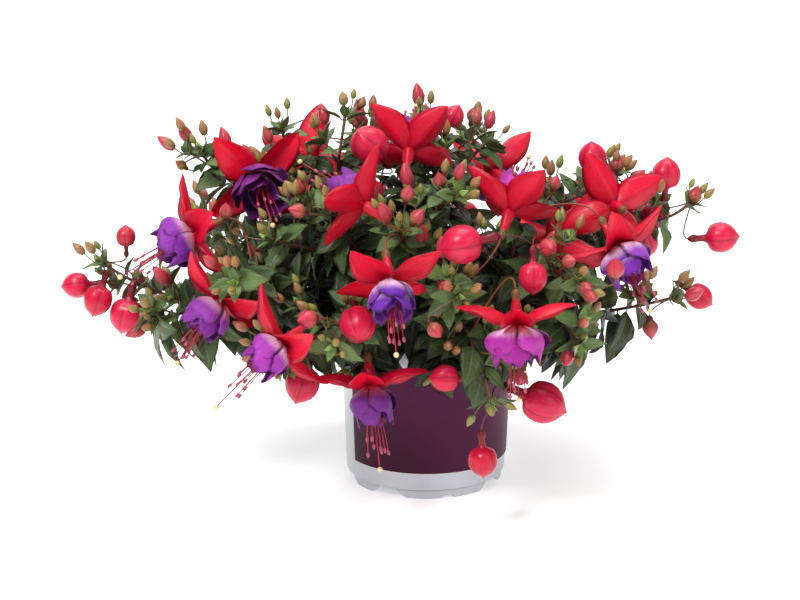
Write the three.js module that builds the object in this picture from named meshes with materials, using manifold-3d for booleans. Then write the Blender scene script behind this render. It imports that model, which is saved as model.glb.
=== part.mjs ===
// Trailing fuchsia in a white plastic pot: a pot with a printed wrap, its compost, a woody crown,
// leafy arching shoots with their buds, and double flowers of red sepals over a violet corolla.
// Millimetres, +Z up, the front is -Y. All places below are given from the ground under the middle
// of the pot.
import * as THREE from "three";
import { mergeVertices } from "three/addons/utils/BufferGeometryUtils.js";
import Module from "manifold-3d";

const wasm = await Module();
wasm.setup();

// Driving dimensions
const GAP = 0.3; // clearance between pieces that touch
const STALK_GAP = 0.6; // the same for the stalk of a flower, which meets its stem at a slant
const POT = {
  height: 108, rimRadius: 60, rimDrop: 13, rimWall: 1.6,
  topRadius: 58.2, lowRadius: 54.9, wall: 1.3, floorUnder: 6, floorOver: 8, sides: 30,
  beside: [17.5, 8.5],
};
const FOOT = { outer: 53, inner: 50.2, gapTop: 12, gapBase: 27, notchWidth: 9, notchDepth: 2.4 };
const FOOT_GAPS = [-76, -29.8, 58.3, 104, 150.2, 238.3]; // degrees from the front, towards +X
const FOOT_NOTCHES = [16, 196];
const DRAIN = { count: 6, radius: 3.6, ring: 41, sides: 6 };
const WRAP = { low: 18.7, high: 93.5, thick: 0.6, from: -60, to: 216, steps: 23 };
const COMPOST = { edge: 95.5, crown: 99, sides: 16, lump: 1.6 };
const TRUNK = { x: -3, y: 3, foot: 72, fork: 112, footRadius: 4.6, forkRadius: 4.0, sides: 7 };
const ARM_RADII = [3.6, 2.6];
const SHOOT = { rootRadius: 2.2, tipRadius: 1.0, forkScale: 0.8 };
const LEAF = {
  thick: 0.7, halfWidth: 0.3, fold: 0.2, firstNode: 8, internode: 21.5, reach: 0.76,
  young: 24, grown: 41, broad: 47, foot: 1, attempts: 8, margin: 0.35,
};
const SEPAL = { length: 38, base: 3.2, belly: 10, thick: 0.8, cup: 0.16 };
const COROLLA = { radius: 14.5, depth: 25, thick: 0.8, spiral: 0.12, innerScale: 0.6 };
const STYLE_REACH = 62;
const STAMEN_REACH = 43;
const PEDICEL_RADIUS = 0.65;
const TUFT = { length: 16, radius: 1.0, hub: 2, reach: 42 };

// The woody arms of the crown: where each one ends.
const ARMS = {
  left: [-48, 0, 160],
  right: [42, 6, 160],
  front: [-2, -46, 150],
  back: [2, 50, 156],
};

// Leafy shoots: the arm and the share of its length where each starts, its tip, the angle above
// level at which the tip points, and how far its middle is lifted. A branch starts at a share of
// the shoot's length. A tuft of buds, red down to its stalks, stands on the tips marked for it.
const SHOOTS = {
  left: {
    arm: "left", at: 0.72, tip: [-219, -20, 158], rise: 30, lift: -10, tuft: true,
    branches: {
      mid: { at: 0.3, tip: [-180, -62, 130], rise: -5, lift: 4 },
      front: { at: 0.12, tip: [-128, -100, 168], rise: 20, lift: 6 },
      rim: { at: 0.04, tip: [-88, -48, 108], rise: -55, lift: 8 },
    },
  },
  left_up: {
    arm: "left", at: 1, tip: [-152, -5, 231], rise: 62, lift: 0,
    branches: {
      top: { at: 0.1, tip: [-55, 10, 253], rise: 70, lift: 2, tuft: true },
      top_left: { at: 0.34, tip: [-98, 14, 243], rise: 70, lift: 0 },
    },
  },
  top: {
    arm: "back", at: 0.5, tip: [-2, 24, 248], rise: 80, lift: 10,
    branches: { right: { at: 0.35, tip: [42, 30, 231], rise: 55, lift: 4 } },
  },
  right_top: {
    arm: "right", at: 1, tip: [125, -8, 218], rise: 52, lift: 0, tuft: true,
    branches: { up: { at: 0.3, tip: [178, -10, 197], rise: 42, lift: -4, tuft: true } },
  },
  right_mid: {
    arm: "right", at: 0.62, tip: [166, -36, 138], rise: 12, lift: -6, tuft: true,
    branches: {
      low: { at: 0.28, tip: [97, -106, 128], rise: -20, lift: 6 },
      rim: { at: 0.1, tip: [88, -44, 110], rise: -55, lift: 8 },
    },
  },
  right_front: {
    arm: "right", at: 0.74, tip: [98, -112, 170], rise: 5, lift: 4, tuft: true,
    branches: {
      up: { at: 0.4, tip: [62, -58, 204], rise: 60, lift: 0 },
      rim: { at: 0.2, tip: [62, -84, 116], rise: -50, lift: 8 },
    },
  },
  front_left_up: {
    arm: "front", at: 0.86, tip: [-64, -79, 212], rise: 68, lift: 4,
    branches: { left: { at: 0.3, tip: [-102, -76, 190], rise: 40, lift: 6 } },
  },
  front_top: {
    arm: "front", at: 1, tip: [-18, -90, 200], rise: 60, lift: 0,
    branches: { right: { at: 0.4, tip: [14, -70, 222], rise: 72, lift: 4 } },
  },
  front_right: {
    arm: "front", at: 0.78, tip: [19, -126, 166], rise: 15, lift: 8, tuft: true,
    branches: {
      low: { at: 0.25, tip: [41, -116, 92], rise: -50, lift: 18, tuft: true },
      rim: { at: 0.1, tip: [10, -94, 106], rise: -60, lift: 8 },
      rim_right: { at: 0.16, tip: [40, -84, 110], rise: -50, lift: 8 },
    },
  },
  front_left: {
    arm: "front", at: 0.6, tip: [-60, -134, 136], rise: -5, lift: 10, tuft: true,
    branches: {
      low: { at: 0.4, tip: [-96, -104, 116], rise: -30, lift: 4 },
      rim: { at: 0.12, tip: [-44, -90, 106], rise: -60, lift: 8 },
    },
  },
  back_left: {
    arm: "left", at: 0.58, tip: [-158, 84, 152], rise: 12, lift: 4,
    branches: {
      up: { at: 0.35, tip: [-96, 118, 184], rise: 35, lift: 4 },
      rim: { at: 0.12, tip: [-78, 62, 108], rise: -55, lift: 8 },
    },
  },
  back_right: {
    arm: "right", at: 0.84, tip: [150, 78, 162], rise: 20, lift: 4,
    branches: {
      low: { at: 0.35, tip: [104, 122, 132], rise: -10, lift: 4 },
      rim: { at: 0.12, tip: [82, 58, 110], rise: -55, lift: 8 },
    },
  },
  back_top: {
    arm: "back", at: 0.9, tip: [-48, 74, 224], rise: 62, lift: 2,
    branches: { right: { at: 0.35, tip: [36, 78, 228], rise: 62, lift: 2 } },
  },
  back: {
    arm: "back", at: 0.72, tip: [-8, 138, 166], rise: 12, lift: 8, tuft: true,
    branches: {
      low_left: { at: 0.2, tip: [-68, 132, 118], rise: -25, lift: 8 },
      low_right: { at: 0.3, tip: [58, 122, 100], rise: -45, lift: 12 },
    },
  },
};

// Open flowers: the middle of the tube's mouth, the way the corolla faces, the turn of the four
// sepals, the angle at which they spread from the corolla's axis, and how far they curl back.
const BLOOMS = [
  { at: [-113, -36, 221], faces: [0.25, -0.92, -0.3], turn: 45, spread: 98, curl: 8, bell: 1.25 },
  { at: [-152, -62, 190], faces: [-0.85, -0.3, -0.35], turn: 30, spread: 100, curl: 10, bell: 1.1 },
  { at: [-40, -90, 216], faces: [-0.72, 0.5, 0.45], turn: 12, spread: 74, curl: -6, bell: 0.9 },
  { at: [-12, -22, 236], faces: [0.1, 0.84, 0.53], turn: 45, spread: 66, curl: -12, bell: 0.62 },
  { at: [53, -80, 209], faces: [0.28, 0.67, 0.69], turn: 45, spread: 64, curl: -14, bell: 1 },
  { at: [125, -38, 202], faces: [-0.2, 0.9, -0.1], turn: 65, spread: 76, curl: -6, bell: 0.8 },
  { at: [122, -86, 189], faces: [0.45, -0.5, -0.7], turn: 35, spread: 108, curl: 16, bell: 1.1 },
  { at: [-25, -136, 180], faces: [0.1, -0.7, -0.7], turn: 40, spread: 98, curl: -12, bell: 0.95 },
  { at: [-91, -132, 137], faces: [-0.75, -0.35, -0.55], turn: 15, spread: 104, curl: 16, bell: 0.95 },
  { at: [56, -138, 152], faces: [0.03, -0.25, -0.97], turn: 0, spread: 102, curl: -18, bell: 1.3 },
  { at: [-37, -108, 101], faces: [0.12, -0.35, -0.93], turn: 25, spread: 100, curl: -20, bell: 0.95 },
  { at: [-134, -86, 152], faces: [-0.6, -0.35, -0.7], turn: 0, spread: 100, curl: 8, bell: 1 },
  { at: [84, -30, 180], faces: [0.1, 0.3, -0.9], turn: 23, spread: 95, curl: 10, bell: 0.95 },
  { at: [-80, 92, 206], faces: [-0.25, 0.65, -0.6], turn: 20, spread: 100, curl: 12, bell: 1.1 },
  { at: [46, 110, 192], faces: [0.25, 0.6, -0.75], turn: 35, spread: 100, curl: -12, bell: 1.2 },
  { at: [102, 88, 170], faces: [0.4, 0.5, -0.75], turn: 10, spread: 104, curl: 14, bell: 1 },
];

// Flower buds: the middle of the bud, the way its tip points, and its diameter.
const BUDS = [
  { at: [-237, -20, 142], points: [-1, 0, -0.1], across: 17 },
  { at: [-221, -35, 136], points: [-0.3, -0.2, -0.9], across: 19 },
  { at: [-203, -30, 124], points: [-0.25, -0.1, -1], across: 21.5 },
  { at: [-203, -15, 175], points: [0, 0, 1], across: 13 },
  { at: [-38, -38, 244], points: [-0.5, -0.5, 0.7], across: 24 },
  { at: [19, 30, 248], points: [0.5, 0, 1], across: 14 },
  { at: [111, -15, 230], points: [-0.1, -0.1, 1], across: 18 },
  { at: [162, -5, 216], points: [0.05, 0, 1], across: 19 },
  { at: [200, -10, 173], points: [1, 0, 0.05], across: 20 },
  { at: [184, -30, 137], points: [0.8, -0.1, -0.5], across: 17 },
  { at: [157, 12, 184], points: [0.5, -0.2, -0.6], across: 19 },
  { at: [21, -124, 199], points: [-0.9, -0.4, -0.1], across: 24 },
  { at: [-45, -128, 147], points: [0.1, -0.9, -0.45], across: 22 },
  { at: [-82, -90, 95], points: [-0.35, -0.2, -1], across: 22.5 },
  { at: [11, -118, 108], points: [-1, -0.25, 0.1], across: 17 },
  { at: [76, -102, 86], points: [0.9, -0.2, -0.35], across: 26 },
  { at: [36, -120, 52], points: [0.05, -0.1, -1], across: 18 },
  { at: [67, -119, 176], points: [0, -0.3, -1], across: 18 },
  { at: [-13, -98, 225], points: [0.2, -0.3, 1], across: 9.5 },
  { at: [-76, -145, 156], points: [-0.6, -0.7, 0.1], across: 12 },
  { at: [77, -108, 193], points: [0.2, -0.9, 0.1], across: 11.5 },
  { at: [-7, -107, 212], points: [0.5, -0.3, 0.8], across: 10 },
  { at: [8, -78, 229], points: [-0.2, -0.3, 1], across: 9 },
  { at: [90, -110, 184], points: [0.5, -0.6, 0.3], across: 9 },
  { at: [101, -116, 168], points: [0.4, -0.8, 0.1], across: 9.5 },
  { at: [119, -124, 183], points: [-0.1, -0.5, 1], across: 12 },
  { at: [-53, -95, 218], points: [0.2, -0.4, 1], across: 8.5 },
  { at: [84, -48, 220], points: [0.3, -0.2, 1], across: 8.5 },
  { at: [128, -12, 224], points: [0.15, 0, 1], across: 10 },
  { at: [142, -8, 214], points: [0.7, -0.1, 0.8], across: 10 },
  { at: [181, -10, 202], points: [0.3, 0, 1], across: 10 },
  { at: [151, -36, 117], points: [0.1, -0.2, -1], across: 11 },
  { at: [4, -148, 150], points: [0.5, -0.8, -0.4], across: 10 },
  { at: [60, -114, 107], points: [-0.1, -0.9, -0.2], across: 10 },
  { at: [-83, -93, 213], points: [-0.8, -0.4, 0.3], across: 10 },
  { at: [-131, -72, 207], points: [0, -0.3, 1], across: 9 },
  { at: [-165, -5, 222], points: [-0.7, 0, 0.5], across: 7 },
  { at: [-141, -5, 236], points: [0.4, 0, 1], across: 7.5 },
  { at: [-44, 12, 261], points: [0.5, 0, 1], across: 7 },
  { at: [-166, 92, 136], points: [-0.5, 0.4, -0.9], across: 19 },
  { at: [-34, 148, 146], points: [-0.3, 0.6, -0.8], across: 20 },
  { at: [30, 152, 145], points: [0.2, 0.7, -0.8], across: 21 },
  { at: [-14, 152, 180], points: [-0.1, 0.7, 0.7], across: 13 },
  { at: [158, 88, 142], points: [0.4, 0.2, -1], across: 18 },
  { at: [-46, 84, 232], points: [-0.2, 0.3, 1], across: 12 },
  { at: [34, 86, 236], points: [0.3, 0.2, 1], across: 10 },
  { at: [-100, 128, 178], points: [-0.3, 0.9, 0.2], across: 12 },
];

const UP = new THREE.Vector3(0, 0, 1);
const EAST = new THREE.Vector3(1, 0, 0);
const radians = THREE.MathUtils.degToRad;
const vec = ([x, y, z]) => new THREE.Vector3(x, y, z);
const along = (from, direction, distance) => from.clone().addScaledVector(direction, distance);

// A repeatable draw from 0 to 1 for a list of whole numbers, so that each run grows the same plant.
function draw(...keys) {
  let h = 0x811c9dc5;
  for (const key of keys) h = Math.imul(h ^ (key + 1), 16777619);
  h = Math.imul(h ^ (h >>> 16), 0x85ebca6b);
  h = Math.imul(h ^ (h >>> 13), 0xc2b2ae35);
  return ((h ^ (h >>> 16)) >>> 0) / 4294967296;
}
const spreadDraw = (...keys) => 2 * draw(...keys) - 1;

// Solids and three.js geometry
function solidFromGeometry(geometry) {
  geometry.deleteAttribute("normal");
  geometry.deleteAttribute("uv");
  const merged = mergeVertices(geometry, 1e-3);
  return new wasm.Manifold(new wasm.Mesh({
    numProp: 3,
    vertProperties: new Float32Array(merged.attributes.position.array),
    triVerts: new Uint32Array(merged.index.array),
  }));
}

function geometryOf(solid) {
  const mesh = solid.getMesh();
  const positions = new Float32Array(mesh.numVert * 3);
  for (let i = 0; i < mesh.numVert; i++) {
    positions.set(mesh.vertProperties.subarray(i * mesh.numProp, i * mesh.numProp + 3), i * 3);
  }
  const geometry = new THREE.BufferGeometry()
    .setAttribute("position", new THREE.BufferAttribute(positions, 3))
    .setIndex(new THREE.BufferAttribute(new Uint32Array(mesh.triVerts), 1));
  geometry.computeVertexNormals();
  return geometry;
}

const union = (solids) => solids.reduce((whole, next) => whole.add(next));

// A closed skin under construction: its corners, and triangles that are wound to face out.
class Skin {
  corners = [];
  triangles = [];

  corner(point) {
    this.corners.push(point.clone());
    return this.corners.length - 1;
  }

  // A flat face with any number of corners, anticlockwise from outside.
  face(...ring) {
    for (let k = 1; k + 1 < ring.length; k++) this.triangles.push([ring[0], ring[k], ring[k + 1]]);
  }

  // The faces between two rings, of which one may be a point, but for those in the list.
  sides(lower, upper, skipped = []) {
    const count = Math.max(lower.length, upper.length);
    for (let k = 0; k < count; k++) {
      if (skipped.includes(k)) continue;
      const [a0, a1] = [lower[k % lower.length], lower[(k + 1) % lower.length]];
      const [b0, b1] = [upper[k % upper.length], upper[(k + 1) % upper.length]];
      if (a0 !== a1) this.triangles.push([a0, a1, b1]);
      if (b0 !== b1) this.triangles.push([a0, b1, b0]);
    }
  }

  // A blade of even thickness through rows of 1, 2 or 3 points, left to right with its root at the
  // top. Both faces are split into the same triangles. A base is a row that is already in the
  // skin, as pairs of corners, so that the blade grows out of it.
  blade(rows, normals, thick, base) {
    const levels = rows.map((row, i) => row.map((point) => [
      this.corner(along(point, normals[i], thick / 2)),
      this.corner(along(point, normals[i], -thick / 2)),
    ]));
    if (base) levels.unshift(base);
    const sheet = levels.slice(1).flatMap((level, i) => sheetFaces(levels[i], level));
    const edges = new Map();
    for (const face of sheet) {
      this.triangles.push(face.map(([top]) => top), face.map(([, low]) => low).reverse());
      face.forEach((from, k) => {
        const to = face[(k + 1) % 3];
        edges.set(`${from[0]}_${to[0]}`, [from, to]);
      });
    }
    for (const [from, to] of edges.values()) {
      if (edges.has(`${to[0]}_${from[0]}`)) continue;
      if (base?.includes(from) && base.includes(to)) continue;
      this.face(to[0], from[0], from[1], to[1]);
    }
  }

  solid() {
    return new wasm.Manifold(new wasm.Mesh({
      numProp: 3,
      vertProperties: new Float32Array(this.corners.flatMap((p) => [p.x, p.y, p.z])),
      triVerts: new Uint32Array(this.triangles.flat()),
    }));
  }
}

// The triangles of a sheet between two rows.
function sheetFaces(a, b) {
  if (a.length === 1) return [[a[0], b[0], b[1]], [a[0], b[1], b[2]]];
  if (b.length === 1) return [[a[0], b[0], a[1]], [a[1], b[0], a[2]]];
  if (a.length === 2) return [[a[0], b[0], b[1]], [a[0], b[1], a[1]], [a[1], b[1], b[2]]];
  return [[a[0], b[0], b[1]], [a[0], b[1], a[1]], [a[1], b[1], b[2]], [a[1], b[2], a[2]]];
}

// Rings of points square to the tangents of a line. The first ring's first point lies towards the
// given direction, and the others follow without twisting. A radius of 0 gives one point.
function ringsAlong(points, tangents, radii, sides, towards) {
  const normal = towards.clone();
  return points.map((point, i) => {
    normal.addScaledVector(tangents[i], -normal.dot(tangents[i])).normalize();
    const across = tangents[i].clone().cross(normal);
    return Array.from({ length: radii[i] > 0 ? sides : 1 }, (_, k) => {
      const turn = (2 * Math.PI * k) / sides;
      return along(along(point, normal, radii[i] * Math.cos(turn)), across,
        radii[i] * Math.sin(turn));
    });
  });
}

// The directions of a line of points, each between the points beside it.
const directionsOf = (points) => points.map((_, i) =>
  points[Math.min(i + 1, points.length - 1)].clone().sub(points[Math.max(i - 1, 0)]).normalize());

// A body with rings of the given radii at the points of a line, closed at both ends.
function taperedTube(points, radii, sides, tangents = directionsOf(points), towards) {
  const skin = new Skin();
  const first = towards ?? perpendicular(tangents[0]);
  const rings = ringsAlong(points, tangents, radii, sides, first)
    .map((ring) => ring.map((point) => skin.corner(point)));
  skin.face(...rings[0].toReversed());
  for (let i = 0; i + 1 < rings.length; i++) skin.sides(rings[i], rings[i + 1]);
  skin.face(...rings.at(-1));
  return skin.solid();
}

// Any unit vector square to a direction: level where the direction isn't upright.
function perpendicular(direction) {
  const reference = Math.abs(direction.dot(UP)) > 0.95 ? EAST : UP;
  return direction.clone().cross(reference).normalize();
}

// Pot
const fromFront = (degrees, radius, z) =>
  new THREE.Vector3(radius * Math.sin(radians(degrees)), -radius * Math.cos(radians(degrees)), z);

function turnedAboutZ(profile, sides) {
  const points = profile.map(([radius, z]) => new THREE.Vector2(radius, z));
  return solidFromGeometry(new THREE.LatheGeometry([...points, points[0]], sides).rotateX(Math.PI / 2));
}

// The outer radius of the plain wall at a height.
const wallRadius = (z) =>
  THREE.MathUtils.mapLinear(z, POT.floorUnder, POT.height - POT.rimDrop, POT.lowRadius, POT.topRadius);

// A wedge that cuts through the foot ring, wider at the ground.
function footCutter(degrees, topWidth, baseWidth, topZ) {
  const outline = new THREE.Shape([
    new THREE.Vector2(-baseWidth / 2, -1), new THREE.Vector2(baseWidth / 2, -1),
    new THREE.Vector2(topWidth / 2, topZ), new THREE.Vector2(-topWidth / 2, topZ),
  ]);
  const geometry = new THREE.ExtrudeGeometry(outline, { depth: 14, bevelEnabled: false });
  geometry.rotateX(Math.PI / 2).translate(0, -FOOT.inner + 6, 0).rotateZ(radians(degrees));
  return solidFromGeometry(geometry);
}

function potSolid() {
  const rimZ = POT.height - POT.rimDrop;
  let pot = turnedAboutZ([
    [0, POT.floorUnder], [FOOT.inner, POT.floorUnder], [FOOT.inner, 0], [FOOT.outer, 0],
    [FOOT.outer, POT.floorUnder], [POT.lowRadius, POT.floorUnder + 0.8], [POT.topRadius, rimZ],
    [POT.rimRadius, rimZ + 0.8], [POT.rimRadius, POT.height],
    [POT.rimRadius - POT.rimWall, POT.height], [wallRadius(rimZ) - POT.wall, rimZ - 2],
    [wallRadius(POT.floorOver) - POT.wall, POT.floorOver], [0, POT.floorOver],
  ], POT.sides);
  for (const gap of FOOT_GAPS) {
    pot = pot.subtract(footCutter(gap, FOOT.gapTop, FOOT.gapBase, POT.floorUnder));
  }
  for (const notch of FOOT_NOTCHES) {
    pot = pot.subtract(footCutter(notch, FOOT.notchWidth / 2, FOOT.notchWidth, FOOT.notchDepth));
  }
  for (let k = 0; k < DRAIN.count; k++) {
    const hole = new THREE.CylinderGeometry(DRAIN.radius, DRAIN.radius, 8, DRAIN.sides)
      .rotateX(Math.PI / 2)
      .translate(0, -DRAIN.ring, (POT.floorUnder + POT.floorOver) / 2)
      .rotateZ(radians(FOOT_GAPS[k]));
    pot = pot.subtract(solidFromGeometry(hole));
  }
  return pot;
}

// The printed wrap: a thin band round most of the wall, in facets that lie along the pot's own.
function wrapSolid() {
  const skin = new Skin();
  const sections = Array.from({ length: WRAP.steps + 1 }, (_, i) => {
    const degrees = THREE.MathUtils.lerp(WRAP.from, WRAP.to, i / WRAP.steps);
    return [[WRAP.low, 0], [WRAP.high, 0], [WRAP.high, 1], [WRAP.low, 1]].map(([z, out]) =>
      skin.corner(fromFront(degrees, wallRadius(z) + GAP + out * WRAP.thick, z)));
  });
  skin.face(...sections[0].toReversed());
  for (let i = 0; i < WRAP.steps; i++) skin.sides(sections[i], sections[i + 1]);
  skin.face(...sections.at(-1));
  return skin.solid();
}

// Compost: fills the pot to below its rim, with a lumpy top and a hole for the stem.
function compostSolid() {
  const profile = [
    [0, POT.floorOver + GAP], [wallRadius(POT.floorOver) - POT.wall - 2 * GAP, POT.floorOver + GAP],
    [wallRadius(COMPOST.edge - 3) - POT.wall - 2 * GAP, COMPOST.edge - 3], [46, COMPOST.edge],
    [26, COMPOST.crown - 1], [0, COMPOST.crown],
  ];
  const points = profile.map(([radius, z]) => new THREE.Vector2(radius, z));
  const lathe = new THREE.LatheGeometry(points, COMPOST.sides).rotateX(Math.PI / 2);
  const position = lathe.attributes.position;
  for (let i = 0; i < position.count; i++) {
    const radius = Math.hypot(position.getX(i), position.getY(i));
    if (position.getZ(i) < COMPOST.edge - 1 || radius < 12) continue;
    const key = Math.round(THREE.MathUtils.radToDeg(Math.atan2(position.getY(i), position.getX(i))));
    const lump = COMPOST.lump * (spreadDraw(((key % 360) + 360) % 360, Math.round(radius)) - 0.4);
    position.setZ(i, position.getZ(i) + lump);
  }
  const hole = taperedTube(
    [new THREE.Vector3(TRUNK.x, TRUNK.y, TRUNK.foot - 2), new THREE.Vector3(TRUNK.x, TRUNK.y, 110)],
    [TRUNK.footRadius + 2 * GAP, TRUNK.footRadius + 2 * GAP], TRUNK.sides + 3);
  return solidFromGeometry(lathe).subtract(hole);
}

// A stem is straight between joints on its curve, and all that grows on it starts on those
// straight lines. The joints are given as distances back from its tip.
function makeStem(curve, rootRadius, tipRadius, backs) {
  const whole = curve.getLength();
  const shares = [0, ...backs.filter((back) => back < whole - 6).map((back) => 1 - back / whole)];
  if (shares.at(-1) < 1) shares.push(1);
  const joints = shares.map((share) => curve.getPointAt(share));
  const tangents = shares.map((share) => curve.getTangentAt(share));
  const radius = (share) => THREE.MathUtils.lerp(rootRadius, tipRadius, share);
  const point = (share) => {
    let i = 0;
    while (i + 2 < shares.length && shares[i + 1] < share) i++;
    const part = (share - shares[i]) / (shares[i + 1] - shares[i]);
    return joints[i].clone().lerp(joints[i + 1], part);
  };
  return { curve, length: whole, shares, joints, tangents, radius, point };
}

// Crown: one woody stem that stands in the compost and forks into four arms.
const fork = new THREE.Vector3(TRUNK.x, TRUNK.y, TRUNK.fork);

const ARM_STEMS = Object.fromEntries(Object.entries(ARMS).map(([name, tip]) => {
  const end = vec(tip);
  const control = fork.clone().lerp(end, 0.55);
  control.z -= 10;
  const curve = new THREE.QuadraticBezierCurve3(fork.clone(), control, end);
  const joints = [0.66, 0.33, 0].map((share) => share * curve.getLength());
  return [name, makeStem(curve, ARM_RADII[0], ARM_RADII[1], joints)];
}));

function crownSolid() {
  const trunk = taperedTube(
    [new THREE.Vector3(TRUNK.x, TRUNK.y, TRUNK.foot), new THREE.Vector3(TRUNK.x, TRUNK.y, 100),
      along(fork, UP, 3)],
    [TRUNK.footRadius, TRUNK.footRadius, TRUNK.forkRadius], TRUNK.sides);
  const arms = Object.values(ARM_STEMS).map((arm) =>
    taperedTube(arm.joints, arm.shares.map(arm.radius), 5, arm.tangents));
  return union([trunk, ...arms]);
}

// Shoots: each is a cubic curve that leaves its arm square to it and ends at its tip.
function risingDirection(from, to, degrees) {
  const level = to.clone().sub(from).setZ(0).normalize();
  return level.multiplyScalar(Math.cos(radians(degrees)))
    .addScaledVector(UP, Math.sin(radians(degrees)));
}

function stemCurve(start, outward, tip, rise, lift) {
  const reach = start.distanceTo(tip);
  const leave = along(start, outward, reach * 0.3).addScaledVector(UP, lift);
  const arrive = along(tip, risingDirection(start, tip, rise), -reach * 0.32)
    .addScaledVector(UP, lift);
  return new THREE.CubicBezierCurve3(start, leave, arrive, tip);
}

// The nodes of a stem, where its leaves grow, as distances back from its tip.
function nodesOf(length) {
  const count = Math.ceil((LEAF.reach * length - LEAF.firstNode) / LEAF.internode);
  return Array.from({ length: Math.max(count, 1) }, (_, n) => LEAF.firstNode + LEAF.internode * n);
}

// The part of a cubic curve from its start to a parameter.
function firstPart(curve, end) {
  const [a, b, c] = [[curve.v0, curve.v1], [curve.v1, curve.v2], [curve.v2, curve.v3]]
    .map(([from, to]) => from.clone().lerp(to, end));
  return new THREE.CubicBezierCurve3(curve.v0, a, a.clone().lerp(b, end), curve.getPoint(end));
}

// A stem with a tuft of buds stops short of its tip, and the tuft goes on from there.
function leafyStem(whole, rootRadius, keys, tuft) {
  const end = whole.getUtoTmapping(1 - TUFT.length / whole.getLength());
  const curve = tuft ? firstPart(whole, end) : whole;
  const nodes = nodesOf(curve.getLength());
  const stem = makeStem(curve, rootRadius, SHOOT.tipRadius, [...nodes.toReversed(), 0]);
  return { ...stem, whole, nodes, keys, tuft };
}

function shootStems(name, shoot, index) {
  const arm = ARM_STEMS[shoot.arm];
  const joint = arm.point(shoot.at);
  const tip = vec(shoot.tip);
  const heading = arm.curve.getTangentAt(shoot.at);
  const outward = tip.clone().sub(joint);
  // A shoot from the very end of an arm carries it on, and others leave it sideways.
  if (shoot.at < 1) outward.addScaledVector(heading, -outward.dot(heading));
  else outward.copy(heading);
  outward.normalize();
  const clear = shoot.at < 1 ? arm.radius(shoot.at) + 2 * GAP : GAP;
  const curve = stemCurve(along(joint, outward, clear), outward, tip, shoot.rise, shoot.lift);
  const main = leafyStem(curve, SHOOT.rootRadius, [index, 0], shoot.tuft && `buds_${name}`);
  const branches = Object.entries(shoot.branches).map(([branchName, branch], k) => {
    const start = main.point(branch.at);
    const target = vec(branch.tip);
    const away = target.clone().sub(start).normalize()
      .add(main.curve.getTangentAt(branch.at)).normalize();
    return leafyStem(stemCurve(start, away, target, branch.rise, branch.lift),
      main.radius(branch.at) * SHOOT.forkScale, [index, k + 1],
      branch.tuft && `buds_${name}_${branchName}`);
  });
  return [main, ...branches];
}

// A stem with its leaves: four-sided, with two rings close together at a leafy node. A leaf takes the
// place of the face between them, and opposite pairs cross each other from node to node.
function stemSolid(stem, leaves) {
  const levels = [];
  stem.shares.forEach((share, i) => {
    const back = (1 - share) * stem.length;
    const node = stem.nodes.findIndex((distance) => Math.abs(distance - back) < 0.01);
    const grown = leaves.filter((leaf) => leaf.node === node);
    for (const offset of grown.length ? [-LEAF.thick / 2, LEAF.thick / 2] : [0]) {
      levels.push({
        point: along(stem.joints[i], stem.tangents[i], offset),
        tangent: stem.tangents[i],
        radius: share === 1 && !stem.tuft ? 0 : stem.radius(share),
        grown: offset > 0 ? grown : [],
      });
    }
  });
  const skin = new Skin();
  const rings = ringsAlong(levels.map((level) => level.point), levels.map((level) => level.tangent),
    levels.map((level) => level.radius), 4, perpendicular(stem.tangents[0]))
    .map((ring) => ring.map((point) => skin.corner(point)));
  skin.face(...rings[0].toReversed());
  for (let i = 1; i < rings.length; i++) {
    const { grown } = levels[i];
    skin.sides(rings[i - 1], rings[i], grown.map((leaf) => leaf.side));
    for (const leaf of grown) {
      const [left, right] = [leaf.side, (leaf.side + 1) % 4];
      const base = [[rings[i][left], rings[i - 1][left]], [rings[i][right], rings[i - 1][right]]];
      growLeaf(skin, leaf.pose, base);
    }
  }
  skin.face(...rings.at(-1));
  return skin.solid();
}

// Leaves: opposite pairs at the nodes of a stem. A leaf that would touch something is drawn again
// at another angle and a little smaller, and is left out after its last attempt.
// Where the rows of points lie along a blade: a broad one has one row more.
const LEAF_ROWS = [0.42, 1];
const BROAD_ROWS = [0.34, 0.7, 1];
const rowsOf = (pose) => (pose.length > LEAF.broad ? BROAD_ROWS : LEAF_ROWS);

const leafShape = (t) => Math.sin(Math.PI * t ** 0.8) ** 0.85 * (1 - 0.25 * t);

function leafLength(node, stem) {
  const grown = Math.min(1, node / 2);
  return THREE.MathUtils.lerp(LEAF.young, LEAF.grown, grown) * Math.min(1, 0.8 + stem.length / 600);
}

// The outward direction of each of the four sides of a stem at one of its joints.
function sideDirections(stem, joint) {
  const rings = ringsAlong(stem.joints, stem.tangents, stem.joints.map(() => 1), 4,
    perpendicular(stem.tangents[0]));
  return [0, 1, 2, 3].map((k) =>
    rings[joint][k].clone().add(rings[joint][(k + 1) % 4]).addScaledVector(stem.joints[joint], -2)
      .normalize());
}

// How a leaf lies, from its node, its side of the stem and the number of the attempt. Leaves turn
// their faces away from the heart of the mound and hang a little.
const MOUND_HEART = new THREE.Vector3(0, 0, 100);

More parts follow.
